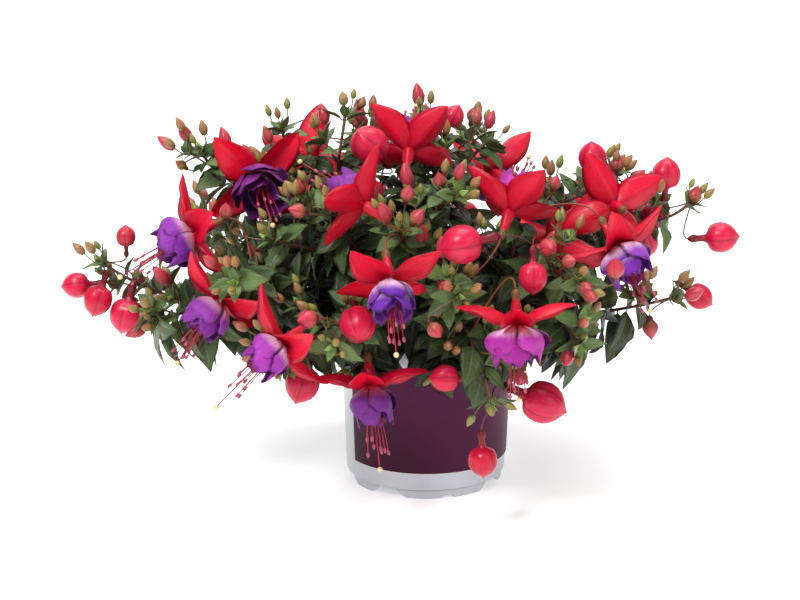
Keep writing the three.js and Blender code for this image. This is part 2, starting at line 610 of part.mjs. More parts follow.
function leafPose(stem, joint, node, side, attempt) {
  const draws = (n) => spreadDraw(...stem.keys, node, side, attempt, n);
  const tangent = stem.tangents[joint];
  const outward = sideDirections(stem, joint)[side]
    .applyAxisAngle(tangent, radians(20 * draws(0)));
  const lean = radians(60 + 16 * draws(1));
  const heading = tangent.clone().multiplyScalar(Math.cos(lean))
    .addScaledVector(outward, Math.sin(lean));
  const away = stem.joints[joint].clone().sub(MOUND_HEART).normalize();
  heading.addScaledVector(away, -0.5 * heading.dot(away)).addScaledVector(UP, -0.25).normalize();
  const face = away.addScaledVector(UP, 0.45);
  face.addScaledVector(heading, -face.dot(heading));
  if (face.length() < 0.3) face.addScaledVector(perpendicular(heading), 0.5);
  face.normalize().applyAxisAngle(heading, radians(25 * draws(2)));
  const length = leafLength(node, stem) * (1 + 0.12 * draws(3)) * (1 - 0.06 * attempt);
  const droop = radians(42 + 20 * draws(4));
  // The upper or the lower face of the blade joins the tip side of the node, whichever is nearer.
  const sign = face.dot(tangent) < 0 ? -1 : 1;
  return { root: stem.joints[joint], heading, face, length, droop, sign };
}

// Points of the blade: a midrib that bends down along an arc, and edges folded up beside it.
function leafRow({ root, heading, face, length, droop, sign }, t, grow) {
  const bend = droop * t;
  const run = (length * Math.sin(bend)) / droop;
  const drop = (length * (1 - Math.cos(bend))) / droop;
  const centre = along(along(root, heading, run), face, -drop);
  const normal = face.clone().multiplyScalar(Math.cos(bend))
    .addScaledVector(heading, Math.sin(bend));
  const side = face.clone().cross(heading).multiplyScalar(sign);
  const half = length * LEAF.halfWidth * leafShape(t) + grow;
  const edge = (across) => along(along(centre, side, across * half), normal, half * LEAF.fold);
  const points = t === 1 ? [centre] : [edge(-1), centre, edge(1)];
  return { points, normal: normal.multiplyScalar(sign) };
}

function growLeaf(skin, pose, base) {
  const rows = rowsOf(pose).map((t) => leafRow(pose, t, 0));
  skin.blade(rows.map((r) => r.points), rows.map((r) => r.normal), LEAF.thick, base);
}

// The blade by itself, from a distance along its midrib, made larger all round to test for room.
function leafProbe(pose, start, grow) {
  const skin = new Skin();
  const foot = leafRow(pose, start, grow + LEAF.foot);
  const rows = rowsOf(pose).map((t) => leafRow(pose, t, grow));
  skin.blade([[foot.points[0], foot.points[2]], ...rows.map((r) => r.points)],
    [foot.normal, ...rows.map((r) => r.normal)], LEAF.thick + 2 * grow);
  return skin.solid();
}

// Open flower: a frame of three directions, its axis first.
function flowerFrame(bloom) {
  const axis = vec(bloom.faces).normalize();
  const first = perpendicular(axis).applyAxisAngle(axis, radians(bloom.turn));
  return { mouth: vec(bloom.at), axis, first, second: axis.clone().cross(first) };
}

const around = (frame, degrees) =>
  frame.first.clone().multiplyScalar(Math.cos(radians(degrees)))
    .addScaledVector(frame.second, Math.sin(radians(degrees)));

const sepalHalfWidth = (t) =>
  SEPAL.base * (1 - t) ** 2 + SEPAL.belly * Math.sin(Math.PI * t ** 0.85) ** 0.75;

// One sepal: its heading turns steadily from the mouth to the tip.
function growSepal(skin, frame, bloom, flower, k, base) {
  const out = around(frame, 90 * k);
  const side = frame.axis.clone().cross(out);
  const spread = bloom.spread + 6 * spreadDraw(flower, k, 1);
  const curl = bloom.curl + 8 * spreadDraw(flower, k, 2);
  const steps = 12;
  const rows = [];
  const normals = [];
  let point = along(along(frame.mouth, out, TUBE[0][1] * Math.SQRT1_2), frame.axis, -SEPAL.thick / 2);
  for (let i = 1; i <= steps; i++) {
    const angle = radians(spread + curl * ((2 * i) / steps - 1));
    const heading = frame.axis.clone().multiplyScalar(Math.cos(angle))
      .addScaledVector(out, Math.sin(angle));
    point = along(point, heading, SEPAL.length / steps);
    if (i % 4 > 0) continue;
    const normal = frame.axis.clone().multiplyScalar(Math.sin(angle))
      .addScaledVector(out, -Math.cos(angle));
    const half = sepalHalfWidth(i / steps);
    const edge = (across) =>
      along(along(point, side, across * half), normal, half * SEPAL.cup);
    rows.push(i === steps ? [point.clone()] : [edge(-1), point.clone(), edge(1)]);
    normals.push(normal);
  }
  skin.blade(rows, normals, SEPAL.thick, base);
}

// The red part: four sepals on the mouth of a tube that goes on as ovary and pedicel.
const TUBE = [[0, 4.8], [-SEPAL.thick, 4.8], [-8, 3.9], [-16, 3], [-21, 0.9]];

function calyxSolid(frame, bloom, flower, pedicel) {
  const points = [...TUBE.map(([w]) => along(frame.mouth, frame.axis, w)), ...pedicel];
  const radii = [...TUBE.map(([, radius]) => radius), ...pedicel.map(() => PEDICEL_RADIUS)];
  const backwards = frame.axis.clone().negate();
  const tangents = directionsOf(points).map((d, i) => (i < TUBE.length ? backwards : d));
  const skin = new Skin();
  const rings = ringsAlong(points, tangents, radii, 4, around(frame, 45))
    .map((ring) => ring.map((point) => skin.corner(point)));
  skin.face(...rings[0].toReversed());
  for (let i = 0; i + 1 < rings.length; i++) {
    skin.sides(rings[i], rings[i + 1], i === 0 ? [0, 1, 2, 3] : []);
  }
  skin.face(...rings.at(-1));
  // The rings run clockwise round the axis, so the faces between the first two lie towards the
  // sepals 0, 3, 2 and 1.
  for (const k of [0, 1, 2, 3]) {
    const face = k;
    const [left, right] = [(face + 1) % 4, face];
    growSepal(skin, frame, bloom, flower, (4 - k) % 4,
      [[rings[0][left], rings[1][left]], [rings[0][right], rings[1][right]]]);
  }
  return skin.solid();
}

// One petal of the bell. Its right edge lies outside and its left edge inside its neighbours.
function petalRows(frame, degrees, halfDegrees, scale, depth) {
  const point = (t, s) => {
    const out = around(frame, degrees + s * halfDegrees);
    const radius = COROLLA.radius * Math.sin((Math.PI / 2) * t ** 0.9) * scale;
    return along(along(frame.mouth, out, radius * (1 + COROLLA.spiral * s)), frame.axis,
      2.5 + depth * t ** 1.3);
  };
  const out = around(frame, degrees);
  const normals = [0.6, 0].map((back) =>
    frame.axis.clone().multiplyScalar(back).sub(out).normalize());
  const rows = [
    [point(0.5, -1), point(0.5, 0), point(0.5, 1)],
    [point(0.94, -1), point(1, 0), point(0.9, 1)],
  ];
  return { rows, normals };
}

// A stamen: a thread that swells at its end.
function stamenSolid(frame, degrees) {
  const root = along(frame.mouth, frame.axis, 1.5);
  const end = along(along(frame.mouth, frame.axis, STAMEN_REACH), around(frame, degrees), 7)
    .addScaledVector(UP, -3);
  const tip = along(end, end.clone().sub(root).normalize(), 3);
  return taperedTube([root, end, tip], [0.55, 1.1, 0], 3);
}

// The violet bell: a square heart with four petals on its sides, the style on its top, one more
// petal rolled up inside, and a stamen.
function corollaSolid(frame, bloom, flower) {
  const { axis, mouth } = frame;
  const skin = new Skin();
  const style = along(mouth, axis, STYLE_REACH).addScaledVector(UP, -5);
  const lean = style.clone().sub(mouth).normalize();
  const head = along(style, lean, -3);
  const points = [GAP, 1.6, 1.6 + COROLLA.thick, 2.6].map((w) => along(mouth, axis, w));
  const rings = ringsAlong([...points, head, style], [axis, axis, axis, axis, lean, lean],
    [4.2, 4.2, 4.2, 0.9, 1.4, 0], 4, frame.first).map((ring) => ring.map((p) => skin.corner(p)));
  skin.face(...rings[0].toReversed());
  const growPetal = (side, level, halfDegrees, scale, depth) => {
    const { rows, normals } = petalRows(frame, 45 + 90 * side, halfDegrees, scale, depth);
    const [outside, inside] = [rings[level], rings[level + 1]];
    const next = (side + 1) % 4;
    skin.blade(rows, normals, COROLLA.thick,
      [[inside[side], outside[side]], [inside[next], outside[next]]]);
  };
  const rolled = flower % 4;
  for (const i of [0, 3, 4]) skin.sides(rings[i], rings[i + 1]);
  skin.sides(rings[2], rings[3], [rolled]);
  for (const side of [0, 1, 2, 3]) growPetal(side, 1, 56, bloom.bell, COROLLA.depth);
  growPetal(rolled, 2, 80, bloom.bell * COROLLA.innerScale, COROLLA.depth * 0.9);
  return skin.solid().add(stamenSolid(frame, 360 * draw(flower, 8)));
}

// Buds: a drop shape over a short tube and ovary, on a stalk. Small ones have fewer sides.
const isLarge = (bud) => bud.across > 12.5;
const BUD_FACETS = 1.08; // a bud's few corners stand out this much from its round body

// How far behind a bud's middle its ovary ends.
const budEnd = (bud) => (-2.3 * bud.across) / 2;

function budSolid(bud, pedicel) {
  const axis = vec(bud.points).normalize();
  const r = bud.across / 2;
  const profile = isLarge(bud)
    ? [[1.3 * r, 0], [0.7 * r, 0.78 * r], [-0.1 * r, r * BUD_FACETS], [-1 * r, 0.4 * r],
      [budEnd(bud), 0.8]]
    : [[1.35 * r, 0], [0.05 * r, r * BUD_FACETS], [-1.5 * r, 0.3 * r]];
  const points = [...profile.map(([w]) => along(vec(bud.at), axis, w)), ...pedicel];
  const radii = [...profile.map(([, radius]) => radius), ...pedicel.map(() => PEDICEL_RADIUS)];
  return taperedTube(points, radii, isLarge(bud) ? 5 : 4);
}

// The places on all stems where a stalk may end, nearest first.
function stemSeats(point) {
  const seats = stems.flatMap(({ node, stem }) => Array.from({ length: 28 }, (_, i) => {
    const share = (i + 18) / 48;
    const spot = stem.point(share);
    return { node, spot, radius: stem.radius(share), distance: spot.distanceTo(point) };
  }));
  return seats.sort((a, b) => a.distance - b.distance);
}

// The tuft whose hub is near enough for a bud to hang on, or else the places on the stems.
function budSeats(point) {
  const seats = tufts.map(({ node, hub, ahead }) =>
    ({ node, spot: hub, ahead, distance: hub.distanceTo(point) }));
  const nearest = seats.sort((a, b) => a.distance - b.distance)[0];
  return nearest.distance < TUFT.reach ? [nearest] : stemSeats(point);
}

// The points of a stalk that leaves backwards and bends towards its end. One that ends on a tuft
// comes to it from ahead.
function stalkPoints(start, backwards, end, ahead) {
  const reach = start.distanceTo(end);
  const leave = along(start, backwards, reach * 0.4);
  if (!ahead) return [new THREE.QuadraticBezierCurve3(start, leave, end).getPoint(0.5), end];
  const curve = new THREE.CubicBezierCurve3(start, leave, along(end, ahead, reach * 0.4), end);
  return [curve.getPoint(0.35), curve.getPoint(0.75), end];
}

// The stalk to the nearest seat that it reaches without touching anything but its own piece, and
// the node that it grows on if it is fused with one.
function clearStalk(own, start, backwards, seats, endAt) {
  const choices = seats.map((seat) =>
    ({ seat, points: stalkPoints(start, backwards, endAt(seat), seat.ahead) }));
  return choices.find(({ seat, points }) => {
    const line = [along(start, backwards, 0.5), ...points];
    const probe = taperedTube(line, line.map(() => PEDICEL_RADIUS + 0.15), 4);
    return !touchesOthers(probe, ({ node }) => node === own || node === seat.hostNode);
  }) ?? choices[0];
}

// The plant
const placed = []; // { node, solid, box }

function boxesMeet(a, b) {
  return a.min[0] < b.max[0] && a.max[0] > b.min[0] && a.min[1] < b.max[1] &&
    a.max[1] > b.min[1] && a.min[2] < b.max[2] && a.max[2] > b.min[2];
}

function place(node, solid) {
  placed.push({ node, solid, box: solid.boundingBox() });
}

function touchesOthers(solid, ignored) {
  const box = solid.boundingBox();
  return placed.some((other) => !ignored(other) && boxesMeet(box, other.box) &&
    solid.intersect(other.solid).volume() > 1e-6);
}

const parts = {}; // node name to the solids that are fused in it
const addTo = (node, solid) => {
  (parts[node] ??= []).push(solid);
  place(node, solid);
};

addTo("pot", potSolid());
addTo("label_wrap", wrapSolid());
addTo("compost", compostSolid());
addTo("crown", crownSolid());

const stems = [];
const tufts = [];
Object.entries(SHOOTS).forEach(([name, shoot], index) => {
  for (const stem of shootStems(name, shoot, index)) {
    stems.push({ node: `shoot_${name}`, stem });
    place(`shoot_${name}`, stemSolid(stem, []));
    if (!stem.tuft) continue;
    const [tip, ahead] = [stem.whole.getPoint(1), stem.whole.getTangent(1)];
    const root = along(stem.curve.getPoint(1), stem.curve.getTangent(1), GAP);
    tufts.push({ node: stem.tuft, hub: along(tip, ahead, -TUFT.hub), ahead });
    addTo(stem.tuft, taperedTube([root, tip], [TUFT.radius, TUFT.radius], 4,
      [stem.curve.getTangent(1), ahead]));
  }
});

// All flower heads have their places before the first stalk looks for its way between them.
const heads = BLOOMS.map((bloom, i) => {
  const name = `bloom_${String(i + 1).padStart(2, "0")}`;
  const frame = flowerFrame(bloom);
  addTo(`${name}_corolla`, corollaSolid(frame, bloom, i));
  place(`${name}_calyx`, calyxSolid(frame, bloom, i, []));
  return { name, frame, bloom };
});

BUDS.forEach((bud, k) => place(`bud_${k}`, budSolid(bud, [])));

heads.forEach(({ name, frame, bloom }, i) => {
  const start = along(frame.mouth, frame.axis, TUBE.at(-1)[0]);
  const node = `${name}_calyx`;
  const endAt = ({ spot, radius }) =>
    along(spot, start.clone().sub(spot).normalize(), radius + STALK_GAP);
  const { points } = clearStalk(node, start, frame.axis.clone().negate(),
    stemSeats(along(start, frame.axis, -8)), endAt);
  addTo(node, calyxSolid(frame, bloom, i, points));
});

BUDS.forEach((bud, k) => {
  const axis = vec(bud.points).normalize();
  const start = along(vec(bud.at), axis, isLarge(bud) ? budEnd(bud) : -0.75 * bud.across);
  const seats = budSeats(along(start, axis, -5)).map((seat) => ({ ...seat, hostNode: seat.node }));
  const { seat, points } = clearStalk(`bud_${k}`, start, axis.clone().negate(), seats,
    ({ spot }) => spot);
  addTo(seat.node, budSolid(bud, points));
});

// Leaves stand on two opposite sides of each node, and on the other two of the next.
function leavesOf(name, stem) {
  const leaves = [];
  stem.nodes.forEach((back, node) => {
    const joint = stem.shares.findIndex((share) =>
      Math.abs((1 - share) * stem.length - back) < 0.01);
    if (joint < 0) return;
    for (const side of [node % 2, (node % 2) + 2]) {
      for (let attempt = 0; attempt < LEAF.attempts; attempt++) {
        const pose = leafPose(stem, joint, node, side, attempt);
        const reach = (stem.radius(stem.shares[joint]) + 1.5) / pose.length;
        const own = leafProbe(pose, reach, 0.05);
        const wide = leafProbe(pose, 0.02, LEAF.margin);
        if (touchesOthers(wide, (other) => other.node === name)) continue;
        if (touchesOthers(own, (other) => other.node !== name)) continue;
        place(name, own);
        leaves.push({ node, side, pose });
        break;
      }
    }
  });
  return leaves;
}

for (const { node, stem } of stems) {
  (parts[node] ??= []).push(stemSolid(stem, leavesOf(node, stem)));
}

// Materials
const finish = (color, roughness) => new THREE.MeshStandardMaterial({ color, roughness, metalness: 0 });
const MATERIALS = {
  pot: finish(0xe9eaee, 0.35),
  label_wrap: finish(0x4a1c4a, 0.4),
  compost: finish(0x2e2018, 0.95),
  crown: finish(0x5a3526, 0.8),
  shoot: finish(0x3f6a3c, 0.55),
  buds: finish(0xd8334a, 0.45),
  calyx: finish(0xd81b2a, 0.45),
  corolla: finish(0x8a3fb4, 0.5),
};

const materialFor = (name) =>
  MATERIALS[name] ?? MATERIALS[name.split("_")[0]] ?? MATERIALS[name.split("_").at(-1)];

// The origin lies on the ground under the middle of the whole plant, and the pot stands beside it.
const fuchsia = new THREE.Group();
const plant = new THREE.Group();
plant.position.set(POT.beside[0], POT.beside[1], 0);
fuchsia.add(plant);
for (const [name, solids] of Object.entries(parts)) {
  const mesh = new THREE.Mesh(geometryOf(union(solids)), materialFor(name));
  mesh.name = name;
  plant.add(mesh);
}

export default fuchsia;
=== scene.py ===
# Trailing fuchsia in a white nursery pot with a plain printed wrap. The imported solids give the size
# and place of the pot, and of every stem, leaf, bud and flower, and this script gives them their
# finished form and surface. The growth rule is the one that the solids were grown by. Lengths are
# in millimetres, from the ground under the middle of the pot, until a mesh is made of them.
import functools

import bmesh
import bpy
import numpy as np
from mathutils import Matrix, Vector
from mathutils.bvhtree import BVHTree
from mathutils.kdtree import KDTree


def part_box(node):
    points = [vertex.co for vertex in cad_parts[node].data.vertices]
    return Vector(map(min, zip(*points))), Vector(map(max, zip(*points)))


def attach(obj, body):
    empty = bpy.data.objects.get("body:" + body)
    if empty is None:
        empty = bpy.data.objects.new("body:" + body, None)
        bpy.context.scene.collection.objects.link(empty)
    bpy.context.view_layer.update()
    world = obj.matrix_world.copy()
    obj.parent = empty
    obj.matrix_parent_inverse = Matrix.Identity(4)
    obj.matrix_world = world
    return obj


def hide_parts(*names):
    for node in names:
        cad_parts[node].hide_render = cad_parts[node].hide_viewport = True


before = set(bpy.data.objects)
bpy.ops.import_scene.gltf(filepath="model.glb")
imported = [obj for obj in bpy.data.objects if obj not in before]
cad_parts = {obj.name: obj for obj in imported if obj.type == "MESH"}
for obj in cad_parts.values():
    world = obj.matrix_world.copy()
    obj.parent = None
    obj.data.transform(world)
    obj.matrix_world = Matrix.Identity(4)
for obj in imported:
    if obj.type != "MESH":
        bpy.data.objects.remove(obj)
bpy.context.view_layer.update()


# Pot
# A thin-walled nursery pot, injection-moulded in white plastic. Its wall flares a little and steps
# out into a rim band. It stands on a ring of feet with water gaps between them, and its floor has
# drainage holes.
MM = 0.001
pot_low, pot_high = (np.array(corner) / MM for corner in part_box("pot"))
POT_MIDDLE = (pot_low + pot_high) / 2 * [1, 1, 0]
POT_HEIGHT = pot_high[2]
RIM_RADIUS = (pot_high[1] - pot_low[1]) / 2
RIM_DROP = 13
FLOOR_UNDER, FLOOR_OVER = 6, 8
FOOT_INNER, FOOT_OUTER = 50.2, 53
WALL_LOW, WALL_TOP, WALL = 54.9, 58.2, 1.3
FOOT_GAPS = [-76, -29.8, 58.3, 104, 150.2, 238.3]  # degrees from the front, towards +X
FOOT_NOTCHES = [16, 196]
# Half the width of a gap and of a notch at the top and at the ground, and their heights.
GAP, NOTCH = (6, 13.5, FLOOR_UNDER), (2.25, 4.5, 2.4)
DRAIN_RADIUS, DRAIN_RING = 3.6, 41
WELD, SHARP = 0.002, 35  # millimetres between merged points, degrees at a sharp edge


def joined(*parts):
    """Arrays, spread to one shape, along the last axis of one array."""
    return np.stack(np.broadcast_arrays(*parts), -1)


def quads_of(rows, columns):
    """The corners of a grid's quads: a point, the next in its row, and the two above them."""
    first = (np.arange(rows - 1)[:, None] * columns + np.arange(columns - 1)).reshape(-1, 1)
    return first + [0, 1, columns + 1, columns]


def placed(name, data):
    """A new object in the scene."""
    made = bpy.data.objects.new(name, data)
    bpy.context.scene.collection.objects.link(made)
    return made


class Piece:
    """Grids of points, each with its maps and values, that are gathered into one mesh."""

    def __init__(self):
        self.points, self.quads, self.maps, self.values, self.count = [], [], {}, {}, 0

    def add(self, grid, flip=False, maps=None, **values):
        """Adds one grid or a stack of them. A quad joins each point to its neighbours in the next
        column and row, and turns the other way round where flip is set."""
        grid = np.asarray(grid, float)
        stack = grid.reshape(-1, *grid.shape[-3:])
        number, rows, columns = stack.shape[:3]
        quads = quads_of(rows, columns)[:, ::-1 if flip else 1]
        starts = self.count + np.arange(number)[:, None, None] * rows * columns
        self.points.append(stack.reshape(-1, 3))
        self.quads.append((quads + starts).reshape(-1, 4))
        self.count += number * rows * columns
        shape = (number, rows, columns)
        for name, value in (maps or {}).items():
            self.maps.setdefault(name, []).append(np.broadcast_to(value, (*shape, 2)).reshape(-1, 2))
        for name, value in values.items():
            self.values.setdefault(name, []).append(np.broadcast_to(value, shape).reshape(-1))
        return self

    def make(self, name, material, slot, *nodes):
        """The mesh as an object that rides on the model and stands for the given CAD nodes. Points
        that lie on each other are merged, which closes seams and poles."""
        points = np.concatenate(self.points) + POT_MIDDLE
        quads = np.concatenate(self.quads)
        mesh = bpy.data.meshes.new(name)
        mesh.vertices.add(len(points))
        mesh.vertices.foreach_set("co", (points * MM).ravel())
        mesh.loops.add(quads.size)
        mesh.loops.foreach_set("vertex_index", quads.ravel().astype(np.int32))
        mesh.polygons.add(len(quads))
        mesh.polygons.foreach_set("loop_start", np.arange(len(quads), dtype=np.int32) * 4)
        for key, value in self.maps.items():
            layer = mesh.uv_layers.new(name=key)
            layer.data.foreach_set("uv", np.concatenate(value)[quads.ravel()].ravel())
        for key, value in self.values.items():
            mesh.attributes.new(key, "FLOAT", "POINT").data.foreach_set("value", np.concatenate(value))
        mesh.update(calc_edges=True)
        weld(mesh)
        mesh.polygons.foreach_set("use_smooth", np.ones(len(mesh.polygons), bool))
        mesh.materials.append(material)
        made = placed(name, mesh)
        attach(made, "root")
        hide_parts(*nodes)
        return made


def weld(mesh):
    """Merges the points of a mesh that lie within two thousandths of a millimetre."""
    shell = bmesh.new()
    shell.from_mesh(mesh)
    bmesh.ops.remove_doubles(shell, verts=shell.verts, dist=WELD * MM)
    shell.to_mesh(mesh)
    shell.free()


def rounded(corners, steps=4):
    """A profile in which each corner (r, z, cut) is an arc that takes the length cut from both of
    its sides."""
    path = [np.array(corners[0][:2], float)]
    for before, corner, after in zip(corners, corners[1:], corners[2:]):
        middle = np.array(corner[:2], float)
        ends = [middle + (np.array(other[:2]) - middle) * corner[2]
                / np.hypot(*(np.array(other[:2]) - middle)) for other in (before, after)]
        t = np.linspace(0, 1, steps)[:, None]
        path.extend((1 - t) ** 2 * ends[0] + 2 * t * (1 - t) * middle + t**2 * ends[1])
    path.append(np.array(corners[-1][:2], float))
    return np.array(path)


def turned(profile, degrees):
    """The profile (r, z) at each angle a from the front: (r sin a, -r cos a, z)."""
    angle = np.radians(degrees)
    radius, z = profile[:, :1], profile[:, 1:]
    return joined(radius * np.sin(angle), -radius * np.cos(angle), z)


def trapezoids(degrees, centres, top_half, base_half, height):
    """A height over the angle: flat-topped bumps on the centres, as wide as the gaps in the foot."""
    offset = (np.asarray(degrees)[:, None] - centres + 180) % 360 - 180
    distance = np.abs(np.radians(offset)).min(1) * FOOT_OUTER
    return np.clip(height * (base_half - distance) / (base_half - top_half), 0, height)


def wall_radius(z):
    """The outer radius of the plain wall at a height."""
    return np.interp(z, [FLOOR_UNDER, POT_HEIGHT - RIM_DROP], [WALL_LOW, WALL_TOP])


def pot_piece():
    """The wall's profile, turned about the pot's axis. The foot's lower edge is lifted to the height
    of the gaps, which is a row of trapezoids over the angle."""
    rim = POT_HEIGHT - RIM_DROP
    profile = rounded([
        (0, FLOOR_UNDER, 0), (FOOT_INNER, FLOOR_UNDER, 0.5), (FOOT_INNER, 0, 0.5), (FOOT_OUTER, 0, 0.7),
        (FOOT_OUTER, FLOOR_UNDER, 0.3), (WALL_LOW, FLOOR_UNDER + 0.8, 0.9), (WALL_TOP, rim, 0.6),
        (RIM_RADIUS, rim + 0.8, 0.5), (RIM_RADIUS, POT_HEIGHT, 0.6), (RIM_RADIUS - 1.6, POT_HEIGHT, 0.6),
        (wall_radius(rim) - WALL, rim - 2, 1.5), (wall_radius(FLOOR_OVER) - WALL, FLOOR_OVER, 1.5),
        (0, FLOOR_OVER, 0)])
    degrees = np.linspace(0, 360, 361)
    grid = turned(profile, degrees)
    gaps = np.maximum(trapezoids(degrees, FOOT_GAPS, *GAP), trapezoids(degrees, FOOT_NOTCHES, *NOTCH))
    foot = (profile[:, 0] > FOOT_INNER - 0.1) & (profile[:, 1] < FLOOR_UNDER)
    grid[foot, :, 2] = np.maximum(grid[foot, :, 2], gaps)
    return Piece().add(grid)


def drilled(made, centres, radius):
    """Cuts upright round holes through the floor of a piece, with a cylinder for each."""
    angles = np.radians(np.arange(0, 360, 12))
    ring, sides = joined(np.cos(angles), np.sin(angles)) * radius, len(angles)
    points, faces = [], []
    for centre in centres:
        low = len(points) + np.arange(sides)
        for z in (FLOOR_UNDER - 2, FLOOR_OVER + 2):
            points += [(*(centre + spot + POT_MIDDLE[:2]), z) for spot in ring]
        high = low + sides
        wall = joined(low, np.roll(low, -1), np.roll(high, -1), high)
        faces += [low[::-1].tolist(), high.tolist(), *wall.tolist()]
    tools = bpy.data.meshes.new("drill")
    tools.from_pydata((np.array(points) * MM).tolist(), [], faces)
    drill = placed("drill", tools)
    cut = made.modifiers.new("holes", "BOOLEAN")
    cut.operation, cut.solver, cut.object = "DIFFERENCE", "EXACT", drill
    whole = made.evaluated_get(bpy.context.evaluated_depsgraph_get())
    mesh = bpy.data.meshes.new_from_object(whole)
    made.modifiers.clear()
    made.data = mesh
    bpy.data.objects.remove(drill)
    mesh.set_sharp_from_angle(angle=np.radians(SHARP))


def paint(code):
    """A colour from its six-digit screen code, as the light values that a shader takes."""
    value = np.array([int(code[k:k + 2], 16) for k in (0, 2, 4)]) / 255
    light = np.where(value > 0.04045, ((value + 0.055) / 1.055) ** 2.4, value / 12.92)
    return (*light.tolist(), 1)


def node(tree, kind, inputs=None, **settings):
    """A shader node. Each input is given a value, or the output of another node that feeds it."""
    made = tree.nodes.new(f"ShaderNode{kind}")
    for name, value in settings.items():
        setattr(made, name, value)
    for name, value in (inputs or {}).items():
        if isinstance(value, bpy.types.NodeSocket):
            tree.links.new(value, made.inputs[name])
        else:
            made.inputs[name].default_value = value
    return made


def math_of(tree, operation, first, second=0.0):
    """One sum on a value that changes over the surface."""
    return node(tree, "Math", {0: first, 1: second}, operation=operation).outputs[0]


def times(tree, first, second):
    """The product of two values."""
    return math_of(tree, "MULTIPLY", first, second)


def plus(tree, first, second):
    """The sum of two values."""
    return math_of(tree, "ADD", first, second)


def less(tree, first, second):
    """The first value less the second."""
    return math_of(tree, "SUBTRACT", first, second)


def apart(tree, value, middle=0.5):
    """How far a value is from a middle one."""
    return math_of(tree, "ABSOLUTE", less(tree, value, middle))


def zigzag(tree, value):
    """Falls from 0.5 to 0 and rises again over each whole step of a value."""
    return apart(tree, math_of(tree, "FRACT", value))


def value_of(tree, name):
    """A value that the points of the mesh carry."""
    return node(tree, "Attribute", attribute_name=name).outputs["Fac"]


def map_of(tree, name):
    """The two coordinates of a map of the mesh."""
    spot = node(tree, "SeparateXYZ", {0: node(tree, "UVMap", uv_map=name).outputs[0]})
    return spot.outputs[0], spot.outputs[1]


def noise(tree, scale, detail, **inputs):
    """Cloudy noise on Object coordinates."""
    place = node(tree, "TexCoord").outputs["Object"]
    return node(tree, "TexNoise", {"Vector": place, "Scale": scale, "Detail": detail, **inputs}).outputs[0]


def raised(tree, height, strength, distance, **inputs):
    """The surface's direction with a height standing out of it."""
    return node(tree, "Bump", {"Height": height, "Strength": strength, "Distance": distance,
                               **inputs}).outputs[0]


def mixed(tree, share, first, second):
    """A colour between two colours, each a screen code or the output of a node."""
    first, second = (paint(color) if isinstance(color, str) else color for color in (first, second))
    return node(tree, "Mix", {0: share, 6: first, 7: second}, data_type="RGBA").outputs[2]


def ramp(tree, value, low, high):
    """0 below the low value and 1 above the high one, with a soft step between them."""
    made = node(tree, "MapRange", {"Value": value, "From Min": low, "From Max": high},
                interpolation_type="SMOOTHSTEP")
    return made.outputs[0]


def shader_material(name, roughness, **sockets):
    """A material on the Principled shader, whose constants are set straight on its sockets."""
    made = bpy.data.materials.new(name)
    made.use_nodes = True
    for socket, value in {"Roughness": roughness, **sockets}.items():
        made.node_tree.nodes["Principled BSDF"].inputs[socket.replace("_", " ")].default_value = value
    return made, made.node_tree


def dressed(made, color, normal=None, roughness=None):
    """Feeds the shader of a material with what changes over the surface."""
    inputs = made.node_tree.nodes["Principled BSDF"].inputs
    for socket, value in (("Base Color", color), ("Normal", normal), ("Roughness", roughness)):
        if value is not None:
            made.node_tree.links.new(value, inputs[socket])
    return made


def new_group(name, inputs, outputs):
    """A node group with named inputs, each with its usual value, and named outputs."""
    group = bpy.data.node_groups.new(name, "ShaderNodeTree")
    for socket, value in inputs.items():
        kind = "Color" if isinstance(value, tuple) else "Float"
        made = group.interface.new_socket(socket, in_out="INPUT", socket_type=f"NodeSocket{kind}")
        made.default_value = value
    for socket, kind in outputs.items():
        group.interface.new_socket(socket, in_out="OUTPUT", socket_type=f"NodeSocket{kind}")
    return group, group.nodes.new("NodeGroupInput").outputs, group.nodes.new("NodeGroupOutput").inputs


def mottle_group():
    """An effect that all the materials use: a colour that turns lighter and darker in soft patches,
    and a fine relief, both from noise on Object coordinates."""
    group, given, result = new_group(
        "mottle", {"Color": (0.5, 0.5, 0.5, 1), "Patches": 60.0, "Contrast": 0.3, "Grain": 900.0,
                   "Relief": 0.1}, {"Color": "Color", "Normal": "Vector"})
    swing = times(group, less(group, noise(group, given["Patches"], 3.0), 0.5), 2.0)
    value = plus(group, times(group, swing, given["Contrast"]), 1.0)
    shade = node(group, "HueSaturation", {"Value": value, "Color": given["Color"]})
    group.links.new(shade.outputs[0], result["Color"])
    relief = raised(group, noise(group, given["Grain"], 4.0), given["Relief"], 0.0006)
    group.links.new(relief, result["Normal"])
    return group


MOTTLE = mottle_group()


def mottled(tree, color, patches, contrast, grain, relief):
    """The mottle effect placed in a material with its own values: its colour and its relief."""
    made = node(tree, "Group", {"Color": color, "Patches": patches, "Contrast": contrast,
                                "Grain": grain, "Relief": relief}, node_tree=MOTTLE)
    return made.outputs["Color"], made.outputs["Normal"]


